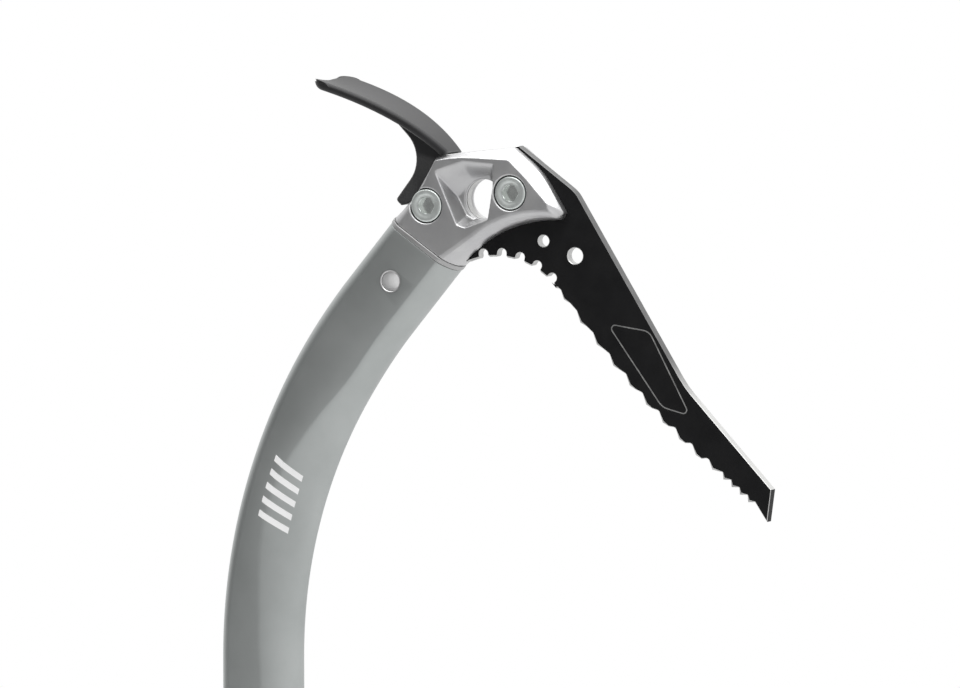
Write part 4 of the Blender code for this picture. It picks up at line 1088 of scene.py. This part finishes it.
def make_end_cap(metal):
    flange_low = -CAP_FLANGE - GAP
    cap = loft("end_cap_body", [shaft_ring(from_end(u), CAP_GROW) for u in (-GAP, flange_low)])
    join(cap, loft("cap_plug", [shaft_ring(from_end(u), INSIDE) for u in (CAP_PLUG, -2 * GAP)]))
    edge = FRONT_X + CAP_GROW
    top, bottom = SHAFT_END_Z - GAP - CAP_EAR_INSET, SHAFT_END_Z + flange_low + CAP_EAR_INSET
    ear = ear_outline(REST_X, REST_Z, REST_EAR, (edge - CAP_EAR_ROOT, edge), bottom, top)
    join_ears(cap, "cap_ear", ear, REST_KNUCKLE_WIDTH / 2 + GAP)
    slot = SPIKE_HALF_THICK + GAP
    tang = SPIKE_TANG_HALF + GAP
    screw = SCREW_SHANK + GAP
    tools = [
        bore("cap_axle_bore", AXLE_RADIUS, REST_X, REST_Z),
        block("cap_slot", (SHAFT_X - tang, -slot, SHAFT_END_Z - BORE_REACH),
              (SHAFT_X + tang, slot, SHAFT_END_Z + SPIKE_TANG_RISE + GAP)),
    ]
    for place, up in PIN_HEIGHTS.items():
        tools.append(bore(f"cap_{place}", PIN_RADIUS, SHAFT_X, SHAFT_END_Z + up))
    tools.append(upright("cap_screw_bore", [(screw, CAP_FACE_Z - 1 * MM),
                                            (screw, CAP_FACE_Z + SCREW_DEEP + 0.5 * MM)], SCREW_X))
    cut(cap, *tools)
    soften(cap, voxel=0.35 * MM, rounds=5, keep=0.12)
    piece(cap, "axe", ["end_cap"], "forged_alloy", metal, sharp=0)


def make_spike(steel, bare):
    top = SHAFT_END_Z + SPIKE_TANG_RISE
    shoulder = CAP_FACE_Z - GAP
    eye_z = SHAFT_END_Z - LEASH_EYE_DOWN
    point_z = SHAFT_END_Z - SPIKE_REACH
    half_outline = [
        (SPIKE_TANG_HALF, top, 0), (SPIKE_TANG_HALF, shoulder, 0), (SPIKE_HALF, shoulder - 1 * MM, 1),
        (SPIKE_HALF, eye_z - SPIKE_KNEE * MM, 8), (1 * MM, point_z, 0),
    ]
    right = [((SHAFT_X + x) / MM, z / MM, r) for x, z, r in half_outline]
    left = [((SHAFT_X - x) / MM, z / MM, r) for x, z, r in reversed(half_outline)]
    middle = SHAFT_X / MM
    holes = [circle(middle, eye_z / MM, LEASH_EYE_RADIUS / MM)]
    holes += [circle(middle, (SHAFT_END_Z + up) / MM, (PIN_RADIUS + GAP) / MM)
              for up in PIN_HEIGHTS.values()]
    point, knee = point_z / MM, eye_z / MM - SPIKE_KNEE

    def bevel(x, z):
        in_eye = abs(x - middle) < 0.8 * LEASH_EYE_RADIUS / MM and z > point + 9
        return SPIKE_BEVEL if z > knee or in_eye else POINT_BEVEL

    spike = chamfered("spike_blade", [rounded(right + left), *holes], SPIKE_HALF_THICK, bevel)
    piece(spike, "axe", ["spike"], "bolt_steel", steel, bare, sharp=20)
    for place, up in PIN_HEIGHTS.items():
        side = width_at(from_end(up), PIN_RADIUS) - GAP
        dome = [(PIN_FLAT + (PIN_RADIUS - PIN_FLAT) * math.sin(t), -side + PIN_DOME * (1 - math.cos(t)))
                for t in quarter(5)]
        pin = turned(f"spike_pin_{place}_bar", dome + mirrored(dome), SHAFT_X, SHAFT_END_Z + up, sides=32)
        piece(pin, "axe", [f"spike_pin_{place}"], "bolt_steel", steel)


def axle(name, x, z, radius, head, half_width):
    """A riveted axle: a round bar with a domed head outside each ear."""
    near = half_width + GAP
    dome = [(AXLE_FLAT + (head - AXLE_FLAT) * math.sin(t), -near - AXLE_DOME * math.cos(t))
            for t in quarter(6)]
    profile = [*dome, (radius, -near), (radius, near), *mirrored(dome)]
    return turned(name, profile, x, z, sides=40)


def rest_ring(share):
    """Section of the rest's arm this share of its length out: it widens, thins and lifts."""
    half = REST_KNUCKLE_WIDTH / 2
    x = REST_X + REST_ARM_FROM + (REST_LENGTH - REST_ARM_FROM) * share
    wide = half + (REST_WIDTH / 2 - half) * math.sin(math.pi / 2 * min(1, share * 2.2))
    wide *= math.sqrt(1 - max(0, (share - 0.8) / 0.2) ** 2 * 0.45)
    tall = REST_THICK / 2 * (1 - 0.35 * share) * (1 - 0.25 * max(0, (share - 0.9) / 0.1) ** 2)
    middle = REST_Z + REST_LIFT * share * share
    ring = []
    for angle in whole(40):
        across, up = math.cos(angle), math.sin(angle)
        ring.append((x, wide * math.copysign(abs(across) ** 0.5, across),
                     middle + tall * math.copysign(abs(up) ** 0.7, up)))
    return ring


def make_grip_rest(plastic, steel):
    half = REST_KNUCKLE_WIDTH / 2
    thick = REST_THICK / 2
    rest = rod("griprest_body", REST_KNUCKLE, REST_X, REST_Z, -half, half)
    join(rest, block("rest_neck", (REST_X, -half, REST_Z - thick),
                     (REST_X + REST_NECK, half, REST_Z + thick)))
    join(rest, loft("rest_arm", [rest_ring(i / 32) for i in range(33)]))
    tools = [bore("rest_bore", AXLE_RADIUS, REST_X, REST_Z)]
    for i in range(REST_GROOVES):
        x = REST_X + (14 + 4.5 * i) * MM
        z = REST_Z + thick + (0.6 + 0.85 * i) * MM * 0.9
        tools.append(rod(f"rest_rib_{i}", 0.8 * MM, x, z, -7 * MM, 7 * MM, 16))
    cut(rest, *tools)
    soften(rest, voxel=0.35 * MM, rounds=5, keep=0.35)
    piece(rest, "griprest", ["griprest"], "moulded_plastic", plastic, sharp=0)
    ears = half + GAP + EAR_THICK
    pin = axle("griprest_pin_rivet", REST_X, REST_Z, AXLE_RADIUS, AXLE_HEAD, ears)
    piece(pin, "axe", ["griprest_pin"], "bolt_steel", steel)
    make_spring(steel)


def make_spring(steel):
    top = CAP_FACE_Z - GAP
    low = top - LEAF_THICK
    leaf = block("griprest_leaf", (SCREW_X - LEAF_BEHIND, -LEAF_HALF, low),
                 (REST_X + LEAF_AHEAD, LEAF_HALF, top))
    edge = leaf.modifiers.new("edge", "BEVEL")
    edge.width = 0.2 * MM
    edge.segments = 3
    edge.limit_method = "NONE"
    settle(leaf)
    hole = SCREW_SHANK + GAP
    cut(leaf, upright("leaf_bore", [(hole, low - GAP), (hole, top + GAP)], SCREW_X))
    piece(leaf, "axe", ["griprest_spring"], "bolt_steel", steel)
    head_low = low - GAP - SCREW_HEAD_TALL
    profile = [(SCREW_HEAD - SCREW_BEVEL, head_low), (SCREW_HEAD, head_low + SCREW_BEVEL),
               (SCREW_HEAD, low - GAP), (SCREW_SHANK, low - GAP), (SCREW_SHANK, CAP_FACE_Z + SCREW_DEEP)]
    screw = upright("spring_screw_body", profile, SCREW_X, sides=40)
    cut(screw, block("screw_slot", (SCREW_X - 3 * MM, -SCREW_SLOT_HALF, head_low - GAP),
                     (SCREW_X + 3 * MM, SCREW_SLOT_HALF, head_low + SCREW_HEAD_TALL / 2)))
    piece(screw, "axe", ["spring_screw"], "bolt_steel", steel)


# --- trigger rest --------------------------------------------------------------------


def make_trigger(plastic, rubber, steel):
    low, high = from_end(TRIGGER_UP - TRIGGER_HIGH / 2), from_end(TRIGGER_UP + TRIGGER_HIGH / 2)
    ring = sleeve("trigger_rest_body", high, low, TRIGGER_INNER, TRIGGER_OUTER)
    front, rear = FRONT_X + TRIGGER_OUTER, REAR_X - TRIGGER_OUTER
    horn = [(front + x * MM, TRIGGER_Z + z * MM) for x, z in rounded(HORN_OUTLINE)]
    join(ring, plate("trigger_horn", [horn], -HORN_WIDTH / 2, HORN_WIDTH / 2))
    inner = LEVER_WIDTH / 2 + GAP
    foot = 0.5 * MM
    ear = ear_outline(LEVER_X, LEVER_Z, LEVER_EAR, (rear + 1.7 * MM, rear - foot),
                      LEVER_Z - LEVER_EAR - foot, LEVER_Z + LEVER_EAR + foot)
    join_ears(ring, "trigger_ear", ear, inner)
    cut(ring, bore("trigger_axle_bore", LEVER_AXLE, LEVER_X, LEVER_Z))
    soften(ring, voxel=0.35 * MM, rounds=5, keep=0.14)
    piece(ring, "trigger", ["trigger_rest"], "moulded_plastic", plastic, sharp=0)
    liner = sleeve("trigger_liner_sleeve", high + GAP, low - GAP, GAP, GAP + LINER_WALL, edge=0.3 * MM)
    piece(liner, "trigger", ["trigger_liner"], "rubber", rubber)
    pad_line = [(front / MM + x, TRIGGER_Z / MM + z) for x, z in rounded(PAD_OUTLINE)]
    pad = chamfered("trigger_pad_grip", [pad_line], HORN_WIDTH / 2 - PAD_INSET, lambda x, z: PAD_BEVEL)
    piece(pad, "trigger", ["trigger_pad"], "rubber", rubber, rubber)
    pin = axle("trigger_lever_rivet", LEVER_X, LEVER_Z, LEVER_AXLE, LEVER_AXLE + 1 * MM,
               inner + EAR_THICK)
    piece(pin, "trigger", ["trigger_lever_pin"], "bolt_steel", steel)
    make_lever(steel)


def make_lever(steel):
    half = LEVER_WIDTH / 2
    lever = rod("trigger_lever_body", LEVER_KNUCKLE, LEVER_X, LEVER_Z, -half, half)
    back = LEVER_X - LEVER_KNUCKLE
    front = back + LEVER_THICK
    top = LEVER_Z + LEVER_LENGTH
    arm = rounded([
        (back, LEVER_Z, 0), (front, LEVER_Z, 0), (front, top - 8 * MM, 20 * MM),
        (back - 1 * MM + LEVER_THICK, top, 1 * MM), (back - 3 * MM, top, 1 * MM),
        (back, top - 10 * MM, 20 * MM),
    ])
    join(lever, plate("lever_arm", [arm], -half, half))
    cut(lever, bore("lever_bore", LEVER_AXLE, LEVER_X, LEVER_Z))
    soften(lever, voxel=0.25 * MM, rounds=5, keep=0.3)
    piece(lever, "lever", ["trigger_lever"], "bolt_steel", steel, sharp=0)


# --- materials -----------------------------------------------------------------------


def fill(tree, node, inputs):
    """Sets a node's inputs, each to a value or to another node's output."""
    for name, value in inputs.items():
        if isinstance(value, bpy.types.NodeSocket):
            tree.links.new(value, node.inputs[name])
        else:
            node.inputs[name].default_value = value


def add_node(tree, kind, inputs, **settings):
    node = tree.nodes.new("ShaderNode" + kind)
    for name, value in settings.items():
        setattr(node, name, value)
    fill(tree, node, inputs)
    return node.outputs


def ramp(tree, source, *stops):
    """Turns a value into a colour between two (position, colour) stops."""
    tone = tree.nodes.new("ShaderNodeValToRGB")
    for element, (position, colour) in zip(tone.color_ramp.elements, stops):
        element.position = position
        element.color = rgba(colour)
    fill(tree, tone, {"Fac": source})
    return tone.outputs["Color"]


def rgba(colour):
    """A colour in full, given as three numbers, or as one for a neutral grey."""
    return (*colour, 1) if isinstance(colour, tuple) else (colour, colour, colour, 1)


def mixed(tree, share, colour, other):
    """An output's colour, with this share of another colour mixed in."""
    inputs = {"Factor": share, "A": colour, "B": rgba(other)}
    return add_node(tree, "Mix", inputs, data_type="RGBA")["Result"]


def finish_of(name, dark, light, roughness, metallic=0.0, grain=1500, bump=0.1, blotch=60,
              bare=None, specular=0.5):
    """A surface with slow colour blotches, a fine grain in its bump and, if given, bare edges."""
    material = bpy.data.materials.new(name)
    material.use_nodes = True
    tree = material.node_tree
    place = add_node(tree, "TexCoord", {})["Object"]
    noise = {"Vector": place, "Scale": blotch, "Detail": 5, "Roughness": 0.6}
    slow = add_node(tree, "TexNoise", noise)["Fac"]
    fine = add_node(tree, "TexNoise", {"Vector": place, "Scale": grain, "Detail": 3})["Fac"]
    colour = ramp(tree, slow, (0.3, dark), (0.7, light))
    if bare:
        colour = worn_edges(tree, colour, fine, bare)
    gloss = add_node(tree, "MapRange", {"Value": slow, "To Min": roughness[0], "To Max": roughness[1]})
    relief = add_node(tree, "Bump", {"Height": fine, "Strength": bump, "Distance": GRAIN_DEEP})
    fill(tree, tree.nodes["Principled BSDF"], {
        "Metallic": metallic, "Specular IOR Level": specular, "Base Color": colour,
        "Roughness": gloss["Result"], "Normal": relief["Normal"],
    })
    return material


def fade_down(material, light, low, high):
    """Fades the material's colour to a lighter one from Z = high down to Z = low."""
    tree = material.node_tree
    target = tree.nodes["Principled BSDF"].inputs["Base Color"]
    height = add_node(tree, "SeparateXYZ", {"Vector": add_node(tree, "TexCoord", {})["Object"]})["Z"]
    share = add_node(tree, "MapRange", {"Value": height, "From Min": high, "From Max": low})["Result"]
    tree.links.new(mixed(tree, share, target.links[0].from_socket, light), target)


def worn_edges(tree, colour, speckle, bare):
    """Mixes a worn colour in where the surface is convex, broken up by the fine grain."""
    convex = add_node(tree, "NewGeometry", {})["Pointiness"]
    edge = add_node(tree, "MapRange", {"Value": convex, "From Min": 0.53, "From Max": 0.62})["Result"]
    broken = add_node(tree, "Math", {0: edge, 1: speckle}, operation="MULTIPLY")["Value"]
    return mixed(tree, broken, colour, bare)


# --- stage ---------------------------------------------------------------------------


def make_camera():
    data = bpy.data.cameras.new("camera")
    data.lens = CAMERA_LENS
    camera = bpy.data.objects.new("camera", data)
    direction = Vector((
        math.sin(CAMERA_AZIMUTH) * math.cos(CAMERA_ELEVATION),
        -math.cos(CAMERA_AZIMUTH) * math.cos(CAMERA_ELEVATION),
        math.sin(CAMERA_ELEVATION),
    ))
    camera.location = Vector(CAMERA_TARGET) + direction * CAMERA_DISTANCE
    camera.rotation_euler = direction.to_track_quat("Z", "Y").to_euler()
    bpy.context.scene.collection.objects.link(camera)
    bpy.context.scene.camera = camera


def soft_light(name, place, target, size, power):
    data = bpy.data.lights.new(name, "AREA")
    data.shape = "RECTANGLE"
    data.size, data.size_y = size
    data.energy = power
    lamp = bpy.data.objects.new(name, data)
    lamp.location = place
    lamp.rotation_euler = (Vector(place) - Vector(target)).to_track_quat("Z", "Y").to_euler()
    bpy.context.scene.collection.objects.link(lamp)


def make_world():
    """A white studio that is darker in front of the tool, where the camera stands."""
    world = bpy.data.worlds.new("studio")
    world.use_nodes = True
    bpy.context.scene.world = world
    tree = world.node_tree
    toward = Vector(STUDIO_DARK_SIDE).normalized()
    place = add_node(tree, "TexCoord", {})["Generated"]
    facing = add_node(tree, "VectorMath", {0: place, 1: toward}, operation="DOT_PRODUCT")["Value"]
    colour = ramp(tree, facing, (0.1, 1), (0.92, STUDIO_DARK))
    fill(tree, tree.nodes["Background"], {"Color": colour, "Strength": 1.0})


def make_floor():
    low = CAD_BOX[0][2] - FLOOR_BELOW
    middle = (CAD_BOX[0][0] + CAD_BOX[1][0]) / 2
    bm = bmesh.new()
    bm.faces.new([bm.verts.new((middle + FLOOR_RADIUS * math.cos(t), FLOOR_RADIUS * math.sin(t), low))
                  for t in whole(96)])
    floor = mesh_object("floor", bm)
    floor.data.materials.append(finish_of("pale_paper", 0.55, 0.58, (0.8, 0.9), grain=400, bump=0.02))


# --- the axe -------------------------------------------------------------------------


def build():
    blasted = finish_of("blasted_alloy", (0.50, 0.50, 0.51), 0.60, (0.34, 0.44), 1.0,
                        grain=2600, bump=0.12, bare=0.75)
    zinc = finish_of("zinc_steel", (0.70, 0.74, 0.72), (0.82, 0.86, 0.84), (0.34, 0.44), 1.0,
                     grain=1800, bump=0.06, blotch=300)
    socket = finish_of("socket_steel", (0.66, 0.69, 0.67), (0.80, 0.83, 0.81), (0.16, 0.24), 1.0,
                       grain=1800, bump=0.08, blotch=300)
    tube = finish_of("satin_aluminium", (0.40, 0.42, 0.415), (0.46, 0.48, 0.475), (0.36, 0.42), 1.0,
                     grain=3000, bump=0.05, blotch=30)
    black = finish_of("black_steel", (0.005, 0.005, 0.0055), (0.009, 0.009, 0.0095), (0.44, 0.56),
                      grain=2200, bump=0.12, blotch=120, specular=0.15)
    back = finish_of("pick_back_steel", 0.13, 0.18, (0.4, 0.5), 0.9, grain=1400, bump=0.12, blotch=300)
    fade_down(back, (0.62, 0.62, 0.61), *PICK_BACK_FADE)
    web_black = finish_of("adze_web_enamel", (0.010, 0.010, 0.011), (0.018, 0.018, 0.019), (0.36, 0.46),
                          0.2, grain=2400, blotch=90, bare=0.2)
    bare = finish_of("ground_steel", 0.40, (0.62, 0.62, 0.61), (0.28, 0.42), 1.0,
                     grain=1400, bump=0.12, blotch=400)
    grey = finish_of("grey_enamel", (0.010, 0.010, 0.0105), (0.019, 0.019, 0.02), (0.36, 0.46), 0.15,
                     grain=2400, blotch=90, bare=0.2, specular=0.4)
    rubber = finish_of("black_rubber", (0.018, 0.018, 0.019), (0.032, 0.032, 0.033), (0.62, 0.8),
                       bump=0.3, blotch=80)
    plastic = finish_of("grained_plastic", (0.032, 0.033, 0.035), (0.05, 0.051, 0.053), (0.42, 0.55),
                        grain=1800, bump=0.22, blotch=70)
    white = finish_of("print_white", 0.82, 0.9, (0.4, 0.5), grain=2500)
    seal = finish_of("grey_seal", 0.38, 0.46, (0.38, 0.48), 0.9, bump=0.15)
    polished = finish_of("bright_steel", 0.56, 0.66, (0.26, 0.34), 1.0, bump=0.05, blotch=300)
    make_head(blasted)
    make_shaft(tube, seal, polished, white)
    make_bolts(zinc, socket)
    make_pick(black, bare, back)
    make_adze(grey, web_black)
    make_grip(plastic, rubber)
    make_end_cap(blasted)
    make_spike(zinc, bare)
    make_grip_rest(plastic, zinc)
    make_trigger(plastic, rubber, zinc)


bpy.context.scene.view_settings.view_transform = "Standard"
make_camera()
make_world()
make_floor()
soft_light("overhead", place=(0.1, -0.05, 1.3), target=(0.05, 0, -0.1), size=(2.4, 2.4), power=42)
build()
